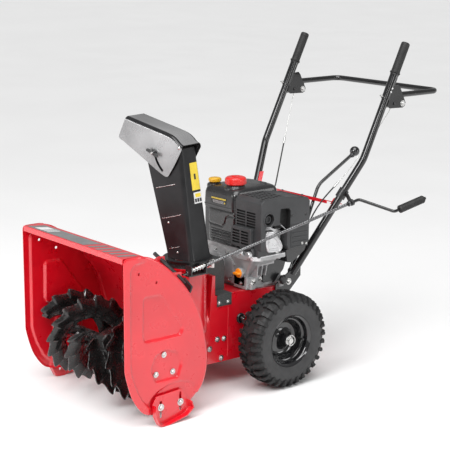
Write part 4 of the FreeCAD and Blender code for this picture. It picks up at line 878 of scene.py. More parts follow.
tops = spline2([(-15, 842.5), (-3, 848.5), (12, 861), (30, 871), (60, 879.5), (120, 892.5), (180, 905.5), (228, 916)], 46)
# lower edge of the cheeks, matched to the same stations
lows = spline2([(-15, 828), (-6, 812), (14, 778), (34, 748), (44, 735), (58, 735), (90, 750), (140, 777), (190, 804), (240, 831), (256, 838), (262, 846)], 46)
Wd = 48.5


def cap_section(top, low, off):
    """From one cheek's lower edge over the rounded edge to the other."""
    q = []
    r = 12.0
    (ut, zt), (ul, zl) = top, low
    d = V(ut - ul, zt - zl)
    Ld = d.length
    dn = d / max(Ld, 1e-6)
    side = []
    rr = min(r, Ld * 0.8)
    for t in np.linspace(0, 1, 7):
        p = V(ul, zl) + dn * ((Ld - rr) * t)
        side.append((p.x, Wd - off, p.y, 0))
    for j in range(1, 8):
        a = j * pi / 16
        base = V(ut, zt) - dn * rr
        hh = (rr - off * 1.0) * sin(a) if rr > off else 0
        p = base + dn * (rr * sin(a) - off * sin(a))
        side.append((p.x, Wd - rr + (rr - off) * cos(a), p.y, 1))
    p = V(ut, zt) - dn * off
    side.append((p.x, Wd - rr, p.y, 1))
    for t in (0.66, 0.33):
        side.append((p.x, (Wd - rr) * t, p.y, 0))
    full = side + [(p.x, 0.0, p.y, 0)] + [(a, -b, c, d_) for a, b, c, d_ in side[::-1]]
    return full


m = Mesh()
rings, n = [], len(tops)
kinds = None
for i in range(n):
    out = cap_section(tops[i], lows[i], 0.0)
    inn = cap_section(tops[i], lows[i], 2.2)
    kinds = [c[3] for c in out]
    rings.append([cp(a, b, c) for a, b, c, _ in out] + [cp(a, b, c) for a, b, c, _ in inn][::-1])
L = len(rings[0])
h = L // 2
m.v = [tuple(p) for g in rings for p in g]
for i in range(n - 1):
    for j in range(L):
        f = (i * L + j, i * L + (j + 1) % L, (i + 1) * L + (j + 1) % L, (i + 1) * L + j)
        m.f.append(f)
        if j < h - 1:
            m.mi.append(1 if kinds[j] and kinds[j + 1] or (kinds[j] != kinds[j + 1] and False) else 0)
        else:
            m.mi.append(2)
for o in (0, (n - 1) * L):
    for j in range(h - 1):
        m.f.append((o + j, o + j + 1, o + L - 2 - j, o + L - 1 - j))
        m.mi.append(2)
# the adjusting slot is cut through each cheek; its walls take the near-black painted shade
cm = Mesh()
HU, HZC = -5.0, 835.0
for sg in (1, -1):
    arc = [(HU + R * cos(rad(a)), HZC + R * sin(rad(a))) for R, seq in ((114.6, np.linspace(-9, -50, 16)), (105.4, np.linspace(-50, -9, 16))) for a in seq]
    prism(cm, [cp(u, sg * (Wd - 12), z) for u, z in arc], DW * (sg * 24))
# cheeks and top take the painted reflection grey; the rounded edge and the inside are black
piece("deflector_cap", m, "deflector", [REFLECT_GREY, BLACK, BLACK], "chute_deflector", cut=(cm, SHADE_BLACK), angle=38)

# wing knob with its washer
m = Mesh()
kb = cp(HU + 110 * cos(rad(-14)), 49.1, HZC + 110 * sin(rad(-14)))
lathe(m, [(0, 0), (0, 11), (1.0, 12), (2.0, 11.4), (2.2, 8.5), (8.5, 8.0), (10, 7.0), (10.2, 4.0), (10.2, 0)], kb, DW, 40, 0)
u2, n2 = (DU * 0.93 + V(0, 0, 0.36)).normalized(), (DU * -0.36 + V(0, 0, 0.93)).normalized()
for s in (1, -1):
    prof = rpoly([(3, -3.2), (15, -6.0), (26, -4.6), (27, 0), (24, 5.0), (14, 6.2), (3, 3.4)], [1, 4, 4, 3, 4, 4, 1])
    prism(m, [kb + DW * (4.2 + 0.16 * a) + u2 * (s * a) + n2 * b for a, b in prof], DW * 4.6, 0)
lathe(m, [(9.8, 0), (9.8, 4.2), (15, 4.2), (15.8, 3.4), (15.8, 0)], kb, DW, 24, 1)
piece("wing_nut", m, "wing_knob", [TANK, ZINC], "deflector_wing_knob", bevel=0.6, angle=40)

# ================================================================== crank and worm
WP, EY = V(181, -296, 450), V(300, 264, 611)
RD = (EY - WP).normalized()
BA, BB = EY + RD * 30, V(397, 374, 581)
GE = BB + RD * 132
m = Mesh()
line = [WP + RD * t for t in np.arange(10, (EY - WP).length - 22, 2.0)]
tube(m, line, 5.3, 16, twist=lambda a, s_: (1 + 0.10 * cos(4 * (a + s_ * 0.16))))
tube(m, fillet([EY - RD * 24, BA, BB, GE], [18, 18], 5), 5.3, 20, 1)
lathe(m, [(-3, 5), (-3, 9.5), (3, 9.5), (3, 5)], EY - RD * 12, RD, 28, closed=True)
piece("crank_bar", m, "chute_crank", [ROD, TUBE], "crank_rod", angle=40)
m = Mesh()
lathe(m, [(20, 5.4), (20, 11), (22, 13.6), (28, 14)] + [(30 + 6 * k + q, 14.0 - (1.6 if q in (2.0, 4.0) else 0.0)) for k in range(14) for q in (0.0, 2.0, 4.0)] + [(116, 14), (121, 13.4), (124.5, 11), (126, 7), (126, 5.4)], BB, RD, 40, closed=True)
piece("crank_sleeve", m, "crank_handle", RUBBER, "crank_grip", angle=50)
m = Mesh()
worm = []
R0, Rp = 5.0, 9.0
n = 190
pts_in = []
lathe(m, [(-55, 0), (-55, 5.6), (-50, 6), (-46, 6), (10, 6), (14, 6), (19, 5.6), (19, 0)], WP, RD, 28)
uo = RD.orthogonal().normalized()
wo = RD.cross(uo)
seq = []
for i in range(n + 1):
    a = 2 * pi * 5 * i / n
    x = -44 + 50 * i / n
    u = uo * cos(a) + wo * sin(a)
    seq.append([WP + RD * (x - 3.4) + u * 5.6, WP + RD * (x - 1.4) + u * 9.0, WP + RD * (x + 1.4) + u * 9.0, WP + RD * (x + 3.4) + u * 5.6])
vs = [p for g in seq for p in g]
fs = [(i * 4 + j, i * 4 + (j + 1) % 4, i * 4 + 4 + (j + 1) % 4, i * 4 + 4 + j) for i in range(n) for j in range(4)] + [(3, 2, 1, 0), (n * 4, n * 4 + 1, n * 4 + 2, n * 4 + 3)]
m.add(vs, fs)
piece("worm_screw", m, "chute_crank", ZINC, "chute_worm", angle=40, doubles=0)
dress(["worm_bracket", "crank_eye_bracket"], BLACK2, 0.7)

# ================================================================== wheels
WX, AXZ, WR = 248.0, 165.0, 165.0
for side, s in (("left", 1), ("right", -1)):
    o, ax = (s * WX, 0, AXZ), (s, 0, 0)
    m = Mesh()
    prof = [(-36, 82.4), (-43, 86), (-47, 92), (-51, 104), (-52, 120), (-49, 138), (-45, 147), (-38, 152.2), (-24, 155), (0, 156), (24, 155), (38, 152.2), (45, 147), (49, 138)]
    out = [(50.5, 133), (51.6, 130.4), (51.9, 128), (51.2, 126.4), (51.9, 124.6), (52, 118), (51.6, 110), (50.4, 102.4), (49.4, 101.2), (49.8, 99.6), (48, 93), (46.0, 90.4), (44.8, 90.6), (43, 87), (36, 82.4)]
    inn = [(34, 86), (0, 88), (-34, 86)]
    lathe(m, prof, o, ax, 120, 0)
    lathe(m, [prof[-1]] + out, o, ax, 120, 1)
    lathe(m, [out[-1]] + inn + [prof[0]], o, ax, 120, 0)
    n = 32
    for k in range(n):
        for q in (1, -1):
            a0 = 360.0 / n * (k + (0.5 if q < 0 else 0))
            R = Matrix.Rotation(rad(a0), 3, "X")

            def put(poly, r0, r1, shrink=0.0, base=None):
                lo_, hi_ = [], []
                cx = sum(p[0] for p in poly) / len(poly)
                cy = sum(p[1] for p in poly) / len(poly)
                for x, y in poly:
                    lo_.append(R @ V(x, y, r0 if base is None else base(x)))
                    xs, ys = cx + (x - cx) * (1 - shrink), cy + (y - cy) * (1 - shrink)
                    hi_.append(R @ V(xs, ys, r1(xs) if callable(r1) else r1))
                nn_ = len(poly)
                vs_ = [V(o[0] + s * p.x, p.y, AXZ + p.z) for p in lo_ + hi_]
                fs_ = [tuple(range(nn_ - 1, -1, -1)), tuple(range(nn_, 2 * nn_))] + [(i, (i + 1) % nn_, nn_ + (i + 1) % nn_, nn_ + i) for i in range(nn_)]
                m.add(vs_, fs_, 0)

            top = lambda x: math.sqrt(max(WR * WR, 0)) - max(0, (abs(x) - 34)) ** 2 * 0.045 - 0.8
            # shoulder block that wraps down the sidewall
            sh = [(26, -8.0), (40, -7.2), (51.8, -6.2), (51.8, 6.2), (40, 7.6), (26, 8.6)]
            put([(q * x, y) for x, y in (sh if q > 0 else sh[::-1])], 0, top, 0.07, base=lambda x: 150 if abs(x) < 45 else 136)
            bar = [(50.2, -4.6), (52.8, -4.4), (52.8, 4.4), (50.2, 4.6)]
            put([(q * x, y) for x, y in (bar if q > 0 else bar[::-1])], 134, 152.5, 0.0)
            if k % 2 == 0:
                ce = [(3, -19), (13, -13), (25, -9), (25, 3), (12, -1), (3, -7)]
            else:
                ce = [(8, -10), (24, -4), (24, 7), (8, 2)]
            put([(q * x, y) for x, y in (ce if q > 0 else ce[::-1])], 152, 163.6, 0.08)
    piece("tyre_tread_" + side, m, "wheel_set", [TYRE, SIDEW], "tyre_" + side, bevel=0.8, angle=38, segs=2, doubles=0.001)
    # dished steel rim
    m = Mesh()
    pr = [(34, 10), (34.8, 11.5), (34.8, 15), (33.5, 16.6), (6, 17), (-2, 20), (-8, 30), (-9.5, 40), (-9, 48), (-5, 56), (4, 61), (14, 64), (22, 67.5), (25, 71.5), (26, 76), (29, 78.6), (36, 80), (41, 82.4), (44, 86), (46.4, 88.8), (47.4, 88.4), (47.2, 86.6),
          (44.6, 82), (41, 78.6), (36, 76.6)]
    pr = [(34, 10), (34.8, 11.5), (34.8, 15), (33.5, 16.6), (6, 17), (-2, 20), (-8, 28), (-10.5, 38), (-11, 48), (-9, 56), (-3, 61.5), (6, 65), (15, 67.6), (20, 70.5), (21.5, 74.5), (24.5, 77.4), (30, 78.4), (37, 79.4), (41.5, 81.6), (44.5, 85.4), (47.2, 89), (47.8, 88.6), (47.6, 87.4), (46.8, 89.8), (44.6, 89.4), (41, 84.2), (36, 82.2)]
    pr = pr[:-6] + [(46.6, 88.6), (47.2, 89.2), (46.2, 90), (44.4, 88.6), (41, 84), (36, 82.2), (0, 82.2), (-36, 82.2), (-44, 88.4), (-46.4, 89.6), (-46.6, 88), (-40, 80), (-38, 68), (-16, 60), (-16, 17), (-58, 17), (-58, 10)]
    lathe(m, pr, o, ax, 128, 0, closed=True)
    for k in range(4):
        a = k * pi / 2 + 0.4
        lathe(m, [(-11.5, 0), (-11.5, 4.2), (-9.6, 4.2), (-8.6, 3.2), (-8.4, 0)], (o[0], 44 * cos(a), AXZ + 44 * sin(a)), ax, 18, 0)
    # valve
    va = V(s * (WX + 17), 69 * cos(rad(-8)), AXZ + 69 * sin(rad(-8)))
    lathe(m, [(-4, 0), (-4, 5.4), (2, 4.6), (6, 3.8), (14, 3.6), (14, 0)], va, V(s, -0.25, 0.03), 20, 1)
    lathe(m, [(14, 0), (14, 4.2), (20, 4.2), (21, 3.6), (21, 0)], va, V(s, -0.25, 0.03), 16, 2)
    piece("rim_dish_" + side, m, "wheel_set", [RIM, RUBBER, BLACK2], "rim_" + side, angle=32)
m = Mesh()
for s in (1, -1):
    tube(m, [(s * 287, 0, AXZ - 18), (s * 287, 0, AXZ + 19)], 2.9, 16)
    loop_ = [(s * 287, 0, AXZ + 19)] + [(s * (287 + 5 * sin(t)), 19 * sin(t * 1.0), AXZ + 19 - 19 * (1 - cos(t))) for t in np.linspace(0.25, pi * 0.98, 14)]
    tube(m, loop_, 1.5, 12)
    lathe(m, [(0, 9.7), (0, 14.8), (0.6, 15.2), (1.6, 15.2), (2.0, 14.8), (2.0, 9.7)], (s * 282.9, 0, AXZ), (s, 0, 0), 32, closed=True)
piece("axle_pins", m, "wheel_set", ZINC, "wheel_pins", angle=45)


# ================================================================== engine
# exhaust and cylinder hood
m = Mesh()
yz(m, rpoly([(-59, 466), (-59, 627), (-46, 639), (60, 640), (152, 628), (163, 615), (163, 548), (152, 470), (66, 453), (60, 470), (60, 544), (18, 546), (-38, 546), (-38, 466)], [4, 8, 10, 30, 10, 8, 20, 14, 6, 4, 10, 4, 8, 3]), 64, 200, 0)
cm = Mesh()
for r0, zz in enumerate((592, 582.6, 573.2, 563.8, 554.4, 545)):
    for x0, x1 in ((72, 118), (124, 170)):
        prism(cm, [(x, -70, z) for x, z in rpoly([(x0, zz - 3.1), (x1, zz - 3.1), (x1, zz + 3.1), (x0, zz + 3.1)], 1.4, 3)], (0, 17, -3))
for i in range(4):
    for j in range(6):
        x0, y0 = 84 + i * 27 - j * 1.5, -34 + j * 16
        prism(cm, [(x, y, 630) for x, y in rpoly([(x0, y0), (x0 + 19, y0), (x0 + 19, y0 + 7), (x0, y0 + 7)], 1.6, 3)], (0, 0, 30))
yz(cm, [(-23 + 20 * cos(t), 571 + 20 * sin(t)) for t in np.linspace(0, 2 * pi, 40, endpoint=False)], 186, 215)
yz(cm, rpoly([(27, 603), (66, 600), (73, 590), (72, 524), (62, 518), (24, 557)], [4, 6, 4, 6, 4, 6]), 150, 215)
for k in range(4):
    z = 532 - 20 * k
    yz(cm, rpoly([(82, z), (156, z - 1), (156, z - 4), (82, z - 3)], 1.2, 3), 198.4, 205)
# the louvre, vent, exhaust and window recesses take the near-black painted shade from the cutter
piece("hood_shell", m, "chassis", HOOD, "engine_hood", bevel=5.0, segs=4, cut=(cm, SHADE_BLACK), angle=30)
m = Mesh()
# stepped exhaust outlet, screws and edge ribs on the hood
lathe(m, [(0, 20), (0, 24.5), (1.5, 25.5), (3.6, 25), (4, 22), (2.5, 20.4), (-6, 19.8), (-6, 20)], (198.6, -23, 571), (1, 0, 0), 48, 0, closed=True)
lathe(m, [(-13, 0), (-13, 13), (-4, 12.6), (-3.2, 11.6), (-3.6, 9.2), (-9, 8.6), (-9, 0)], (198.6, -23, 571), (1, 0, 0), 40, 0)
yz(m, rpoly([(76, 545), (80, 540), (158, 541), (158, 470), (76, 458)], 4), 199.2, 201.6, 0)
for k in range(5):
    z = 528 - 16 * k
    yz(m, rpoly([(84, z), (152, z - 1), (152, z - 5), (84, z - 4)], 2, 4), 201, 204.2, 0)
block(m, 70, 194, 132, 136, 626, 632, 1.5, "z", 0)
for y, z in ((79, 573), (144, 568)):
    bolt(m, (199.6, y, z), (1, 0, 0), 3.4, 2.2, True, 1, True)
for y, z in ((127, 470), (146, 467)):
    bolt(m, (201.4, y, z), (1, 0, 0), 3.2, 2.2, True, 2, True)
for x, y in ((82, 140), (182, 140), (186, -46)):
    bolt(m, (x, y, 634.6 if y > 0 else 638), (0, 0, 1), 3.2, 2.0, True, 1, True)
piece("hood_trim", m, "chassis", [HOOD, BLACK2, ZINC], bevel=0.6, angle=35)
# raised intake grille low on the front
m = Mesh()
xz(m, rpoly([(60, 470), (60, 538), (164, 540), (166, 532), (164, 474), (156, 466)], [6, 12, 14, 6, 10, 8]), -60, -76, 0)
cm = Mesh()
for zz in (526, 516, 506, 496, 486):
    for x0, x1 in ((70, 108), (115, 153)):
        prism(cm, [(x, -90, z) for x, z in rpoly([(x0, zz - 3), (x1, zz - 3), (x1, zz + 3), (x0, zz + 3)], 1.4, 3)], (0, 22, -3))
# the grille slots' floors take the near-black painted shade from the cutter
piece("front_grille", m, "chassis", HOOD, bevel=3.0, segs=3, cut=(cm, SHADE_BLACK), angle=30)
m = Mesh()
lathe(m, [(0, 0), (0, 17), (2, 19), (10, 19), (12, 17), (12, 12), (9, 10), (9, 0)], (152, -58, 455), (0, -1, 0), 44, 0)
lathe(m, [(9, 0), (9, 7), (15, 6), (15, 0)], (152, -58, 455), (0, -1, 0), 28, 1)
block(m, 120, 186, -58, 20, 440, 468, 6, "z", 0)
piece("breather_boss", m, "chassis", [HOOD, BLACK2], bevel=0.8, angle=35)

# fuel tank with its shoulder and filler necks
m = Mesh()
secs = []
for f, (x0, x1, y0, y1, z, r) in enumerate(((-113, 60, -58, 146, 575, 16), (-113, 60, -59, 147, 600, 18), (-113, 60, -58, 146, 628, 20), (-111, 58, -54, 143, 640, 22), (-106, 54, -47, 137, 648, 24), (-98, 48, -38, 128, 652.5, 26), (-84, 36, -24, 112, 654.5, 28), (-60, 16, 0, 84, 655.4, 26))):
    secs.append([(x, y, z) for x, y in rpoly([(x0, y0), (x1, y0), (x1, y1), (x0, y1)], r, 8)])
k = len(secs[0])
m.add([p for s in secs for p in s], [(i * k + j, i * k + (j + 1) % k, (i + 1) * k + (j + 1) % k, (i + 1) * k + j) for i in range(len(secs) - 1) for j in range(k)] + [tuple(range(k - 1, -1, -1)), tuple((len(secs) - 1) * k + j for j in range(k))])
lathe(m, [(-14, 41), (-4, 41), (0, 39), (1.5, 36), (6, 33), (8, 31), (8, 0), (-14, 0)], (7, -10, 653), (0, 0, 1), 56)
lathe(m, [(-14, 28), (-4, 28), (0, 26), (1.5, 23), (4, 20), (5.2, 18), (5.2, 0), (-14, 0)], (-92, -22, 652), (0, 0, 1), 48)
# seam round the tank and a low swage on its top
ring = rpoly([(-114.2, -60), (61, -60), (61, 148), (-114.2, 148)], 17, 8)
xy(m, ring, 583, 587.5)
prism(m, [(x, y, 652.6) for x, y in rpoly([(-60, 60), (30, 60), (30, 120), (-60, 120)], 12)], (0, 0, 3.2))
piece("fuel_tank_shell", m, "chassis", TANK, "fuel_tank", bevel=0.9, angle=32)
m = Mesh()
xz(m, rpoly([(-66, 593), (14, 594), (16, 617), (-66, 616)], 2.5), -59.2, -59.8, 0)
xz(m, rpoly([(-64, 609), (14.5, 610), (14.8, 615.4), (-64, 614.6)], 1.2), -59.8, -60.2, 1)
for q in range(3):
    xz(m, rpoly([(-58 + 2 * q, 603.6 - 3.6 * q), (2, 604 - 3.6 * q), (2, 605.2 - 3.6 * q), (-58 + 2 * q, 604.8 - 3.6 * q)], 0.4, 2), -59.8, -60.1, 2)
xz(m, [(x, z) for x, z in rpoly([(4, 598), (12, 598), (8, 605)], 0.8)], -59.8, -60.1, 1)
piece("tank_label", m, "chassis", [BLKD, YELD, SILD], angle=30)
# caps
m = Mesh()
lathe(m, [(0, 0), (0, 33), (3, 34.5), (3.4, 37), (18, 36.6), (23, 35), (26, 31), (27, 27), (27, 20), (25.6, 18), (25.4, 0)], (7, -10, 662.6), (0, 0, 1), 144, 0, mod=lambda a, r, t: 1 + (0.028 * max(0, cos(18 * t)) ** 2 if 3.2 < a < 20 and r > 34 else 0))
prism(m, [(7 + x, -10 + y, 687.4) for x, y in rpoly([(-17, -4), (17, -4), (17, 4), (-17, 4)], 3.5)], (0, 0, 3.4))
piece("fuel_lid", m, "tank_cap", CAPR, "fuel_cap", angle=40)
m = Mesh()
lathe(m, [(0, 0), (0, 19.6), (1.6, 20.4), (1.8, 22), (10, 21.8), (13, 20), (14.2, 16), (14.2, 0)], (-92, -22, 658.6), (0, 0, 1), 120, 0, mod=lambda a, r, t: 1 + (0.045 * max(0, cos(10 * t)) ** 2 if 1.7 < a < 11 and r > 20.5 else 0))
piece("oil_lid", m, "filler_cap", CAPY, "oil_cap", angle=40)
m = Mesh()
lathe(m, [(-4.6, 0), (-4.6, 14), (-3.6, 15.6), (1.2, 15.6), (2.2, 14), (2.2, 0)], (110, -81.4, 378), (0, -1, 0), 60, 0, mod=lambda a, r, t: 1 + (0.05 * max(0, cos(12 * t)) ** 2 if r > 15 else 0))
lathe(m, [(0, 9.4), (22, 9.4), (24, 8), (24, 0), (0, 0)], (110, -80, 378), (0, 1, 0), 32, 0)
prism(m, [(x, -83.2, z) for x, z in rpoly([(97, 374.6), (123, 374.6), (124, 378), (123, 381.4), (97, 381.4), (96, 378)], 2.4)], (0, -12.4, 0))
piece("dipstick_tab", m, "oil_dipstick", CAPO, "dipstick", bevel=0.5, angle=35)

# rocker cover with its rim and bolts
m = Mesh()
rc = rpoly([(-34, 480), (-20, 448), (42, 446), (55, 464), (44, 490), (22, 520), (4, 534), (-24, 534), (-36, 520)], [16, 16, 14, 16, 30, 24, 12, 10, 14], 8)


def inset(poly, d):
    cy, cz = sum(p[0] for p in poly) / len(poly), sum(p[1] for p in poly) / len(poly)
    out = []
    for y, z in poly:
        q = V(y - cy, z - cz)
        out.append((cy + q.x * (1 - d / q.length), cz + q.y * (1 - d / q.length)))
    return out


k = len(rc)
rings = [[(x, y, z) for y, z in inset(rc, d)] for x, d in ((168.6, 0), (174, 0), (175, 1.0), (175, 3.5), (186, 4.6), (189.6, 6.0), (191.6, 9.0), (191.8, 13), (189.8, 15), (189.6, 22))]
m.add([p for g in rings for p in g], [(i * k + j, i * k + (j + 1) % k, (i + 1) * k + (j + 1) % k, (i + 1) * k + j) for i in range(len(rings) - 1) for j in range(k)] + [tuple(range(k - 1, -1, -1)), tuple((len(rings) - 1) * k + j for j in range(k))])
tri = rpoly([(-14, 466), (36, 464), (30, 482), (8, 506), (-8, 504), (-18, 484)], [8, 8, 8, 8, 8, 8], 6)
tube(m, [(190.4, y, z) for y, z in tri] + [(190.4, tri[0][0], tri[0][1])], 1.9, 10)
for dy in (-4, 6, 16):
    tube(m, [(190.2, dy + 4, 474), (190.4, dy + 8, 480), (190.2, dy + 6, 486)], 1.1, 8)
for y, z in ((-24, 462), (44, 459), (26, 509), (-26, 523)):
    bolt(m, (175, y, z), (1, 0, 0), 5, 5, True, 1)
for z in np.arange(452, 540, 8.0):
    block(m, 118, 168, -34, 58, z, z + 3.0, 4, "z", 0)
block(m, 120, 168.4, -24, 48, 448, 540, 6, "z", 0)
xy(m, rpoly([(96, -84), (168, -72), (186, -52), (188, 60), (176, 92), (150, 122), (112, 96), (96, 70)], [8, 14, 12, 14, 14, 12, 10, 8]), 429, 443.6, 0)
for x, y in ((160, -66), (178, -20), (180, 30), (150, 108), (166, 84)):
    lathe(m, [(-10, 0), (-10, 9), (1, 9), (1.6, 8), (1.6, 0)], (x, y, 443), (0, 0, 1), 24, 0)
    bolt(m, (x, y, 444.6), (0, 0, 1), 5.4, 6, True, 1)
lathe(m, [(0, 0), (0, 11), (2, 12), (12, 12), (14, 10), (14, 0)], (160, -72, 450), (0, -1, 0), 32, 0)
lathe(m, [(0, 0), (0, 8), (16, 8), (18, 6), (18, 0)], (118, -66, 440), (0, -0.7, 0.7), 28, 0)
piece("head_cover", m, "chassis", [CASTB, ZINC], "rocker_cover", bevel=0.6, angle=35)
m = Mesh()
# black intake and governor links in the hood's window; the intake block uses the near-black that also paints the
# recesses' shade
block(m, 150, 180, 20, 80, 530, 606, 5, "z", 0)
tube(m, fillet([(186, 24, 556), (188, 44, 540), (188, 66, 522)], 14), 2.2, 14, 1)
tube(m, fillet([(180, 62, 500), (190, 70, 486), (184, 76, 470)], 12), 4, 16, 0)
yz(m, rpoly([(58, 455), (74, 455), (78, 500), (62, 512)], 4), 120, 176, 0)
piece("intake_links", m, "chassis", [SHADE_BLACK, STEEL], bevel=0.8, angle=35)

# crankcase dressing: gasket plate, studs, side cover, feet, ribs
dress("crankcase", CAST, 2.0, segs=3)
m = Mesh()
xy(m, rpoly([(60, -76), (188, -52), (190, 56), (176, 74), (60, 84)], [8, 14, 16, 12, 8]), 430, 440, 0)
xy(m, rpoly([(70, -66), (176, -44), (178, 46), (166, 62), (70, 72)], [8, 14, 16, 12, 8]), 440, 449, 0)
xy(m, rpoly([(90, -50), (158, -40), (160, 40), (90, 56)], 10), 404, 431, 0)
for x, y in ((84, -60), (124, -52), (172, -36), (176, 40), (150, 58)):
    bolt(m, (x, y, 440), (0, 0, 1), 6, 7, True, 1)
    lathe(m, [(-16, 0), (-16, 8), (0, 9), (0, 0)], (x, y, 440), (0, 0, 1), 24, 0)
# end cover on the front with ribs and a ring of bolts
prof = rpoly([(-88, 334), (122, 327), (126, 366), (106, 392), (98, 440), (-86, 442), (-98, 380)], [12, 12, 16, 20, 12, 12, 16], 6)
xz(m, prof, -54.4, -66, 0)
xz(m, rpoly([(-66, 350), (66, 346), (70, 420), (-64, 424)], 24, 8), -66, -72, 0)
for x, z in ((-78, 346), (-20, 340), (44, 338), (106, 340), (90, 428), (32, 434), (-30, 434), (-76, 428)):
    bolt(m, (x, -66, z), (0, -1, 0), 5.2, 4.4, True, 1)
for k in range(7):
    a = rad(-60 + 40 * k)
    pts = [(46 * cos(a), 384 + 34 * sin(a)), (78 * cos(a), 384 + 44 * sin(a))]
    nrm = V(-sin(a), cos(a)) * 2.0
    prism(m, [(pts[0][0] - nrm.x, -71.6, pts[0][1] - nrm.y), (pts[1][0] - nrm.x, -71.6, pts[1][1] - nrm.y), (pts[1][0] + nrm.x, -71.6, pts[1][1] + nrm.y), (pts[0][0] + nrm.x, -71.6, pts[0][1] + nrm.y)], (0, 6.4, 0), 0)
lathe(m, [(-2, 12), (-2, 17), (3, 18.4), (6, 17.6), (6, 12)], (110, -77.6, 378), (0, 1, 0), 32, 0, closed=True)
# mounting feet and their bolts
for y0 in (-58, 72):
    block(m, 78, 150, y0, y0 + 22, 312 if y0 > 0 else 322.4, 330 if y0 > 0 else 338, 6, "z", 0)
    bolt(m, (140, y0 + 11, 330 if y0 > 0 else 338), (0, 0, 1), 7, 6, True, 1)
cone = []
for z, x1, y0, y1, r in ((430, 172, -72, 56, 16), (420, 168, -70, 50, 16), (404, 156, -66, 34, 16), (388, 142, -63, 18, 14), (374, 134, -61, 6, 12), (362, 131, -60, 0, 10)):
    cone.append([(x, y, z) for x, y in rpoly([(60, y0), (x1, y0), (x1, y1), (60, y1)], [2, r, r, 2], 6)])
kk = len(cone[0])
m.add([p for g in cone for p in g], [(i * kk + j, (i + 1) * kk + j, (i + 1) * kk + (j + 1) % kk, i * kk + (j + 1) % kk) for i in range(len(cone) - 1) for j in range(kk)] + [tuple(range(kk)), tuple((len(cone) - 1) * kk + j for j in range(kk - 1, -1, -1))])
block(m, 62, 136, -66, 4, 326, 364, 7, "z", 0)
block(m, 70, 139, -70, 10, 322.4, 331, 5, "z", 0)
for k in range(3):
    yz(m, rpoly([(-40 + 20 * k, 366), (-37 + 20 * k, 366), (-33 + 24 * k, 424), (-38 + 24 * k, 424)], 1.2), 128, 160 - 2 * k, 0)
bolt(m, (136, -34, 346), (1, 0, 0), 7, 5, True, 1)
bolt(m, (136, -6, 350), (1, 0, 0), 5.5, 5, True, 1)
piece("case_dressing", m, "chassis", [CAST, ZINC], bevel=0.7, angle=35)

# black shroud below the tank with its moulded line and ribs
SHR = even(rpoly([(-80, 456), (-84, 574), (58, 574), (58, 470), (40, 452)], [12, 4, 4, 10, 10]), 5.0)
GRO = [(-80, 520), (-8, 517), (6, 528), (14, 552), (30, 560), (60, 560)]


def shroud_h(P):
    d = d_line(P, GRO)
    h = -2.6 * np.exp(-(d / 2.6) ** 2)
    low = (P[:, 1] < 512)
    h = h + np.where(low, 1.4 * np.cos((P[:, 1] - 456) * 2 * pi / 9.0) * ss((510 - P[:, 1]) / 8) * ss((P[:, 0] + 74) / 12) * ss((50 - P[:, 0]) / 12), 0)
    e = d_line(P, SHR, True)
    return h - 2.0 * (1 - ss(e / 5))


m = Mesh()
sheet(m, SHR, [], shroud_h, lambda u, v, h: (u, -57.5 - h, v), 3.0, coarse=10, fine=2.4, near=[(GRO, False), ([(-80, 460), (-80, 508), (-8, 508), (52, 508), (52, 460)], True)], band=30)
block(m, -112, 62, -54, 100, 452, 575, 10, "z")
piece("shroud_panel", tidy(m), "chassis", TANK, angle=42)

# fan and recoil housing at the rear
m = Mesh()
xz(m, rpoly([(-104, 364), (-74, 330), (74, 330), (106, 366), (106, 440), (70, 462), (66, 573), (-112, 573), (-112, 440)], [14, 18, 18, 14, 30, 16, 8, 10, 20], 6), 98.4, 132, 0)
lathe(m, [(0, 0), (0, 104), (6, 102), (12, 94), (16, 84), (18, 70), (19, 52), (17, 46), (17, 0)], (0, 130, 452), (0, 1, 0), 90, 0)
cm = Mesh()
for k in range(22):
    a = 2 * pi * k / 22
    if abs(math.degrees(a) % 360 - 90) < 18:
        continue
    prism(cm, [(60 * cos(a - 0.075), 141, 452 + 60 * sin(a - 0.075)), (88 * cos(a - 0.01), 141, 452 + 88 * sin(a - 0.01)), (88 * cos(a + 0.085), 141, 452 + 88 * sin(a + 0.085)), (60 * cos(a + 0.055), 141, 452 + 60 * sin(a + 0.055))], (0, 30, 0))
prism(cm, [(x, 140, z) for x, z in rpoly([(-8, 462), (8, 462), (8, 478), (-8, 478)], 6)], (0, 40, 0))
# the fan slots and the starter recess take the near-black painted shade from the cutter
piece("recoil_housing", m, "chassis", HOOD, "fan_cover", bevel=2.0, segs=3, cut=(cm, SHADE_BLACK), angle=30)
m = Mesh()
for k in range(3):
    a = rad(90 + 120 * k + 60)
    bolt(m, (98 * cos(a), 133.5, 452 + 98 * sin(a)), (0, 1, 0), 5, 4.4, True, 0)
for x, z in ((-96, 556), (52, 556), (-92, 380), (92, 384)):
    bolt(m, (x, 132, z), (0, 1, 0), 5, 4.4, True, 0)
piece("recoil_screws", m, "chassis", ZINC, bevel=0.3, angle=28)
m = Mesh()
xz(m, rpoly([(-24, 464), (-18, 461), (18, 461), (24, 464), (24, 474), (18, 478), (-18, 478), (-24, 474)], 3), 156.8, 168.4, 0)
lathe(m, [(-6, 4.4), (-6, 6.5), (0, 6.5), (2, 8.5), (2, 4.4)], (0, 156, 470), (0, 1, 0), 24, 0, closed=True)
tube(m, [(0, 129, 470), (0, 157, 470)], 2.2, 12, 1)
piece("starter_pull", m, "starter_handle", [RUBBER, WHITE], "recoil_grip", bevel=1.6, segs=3, angle=35)
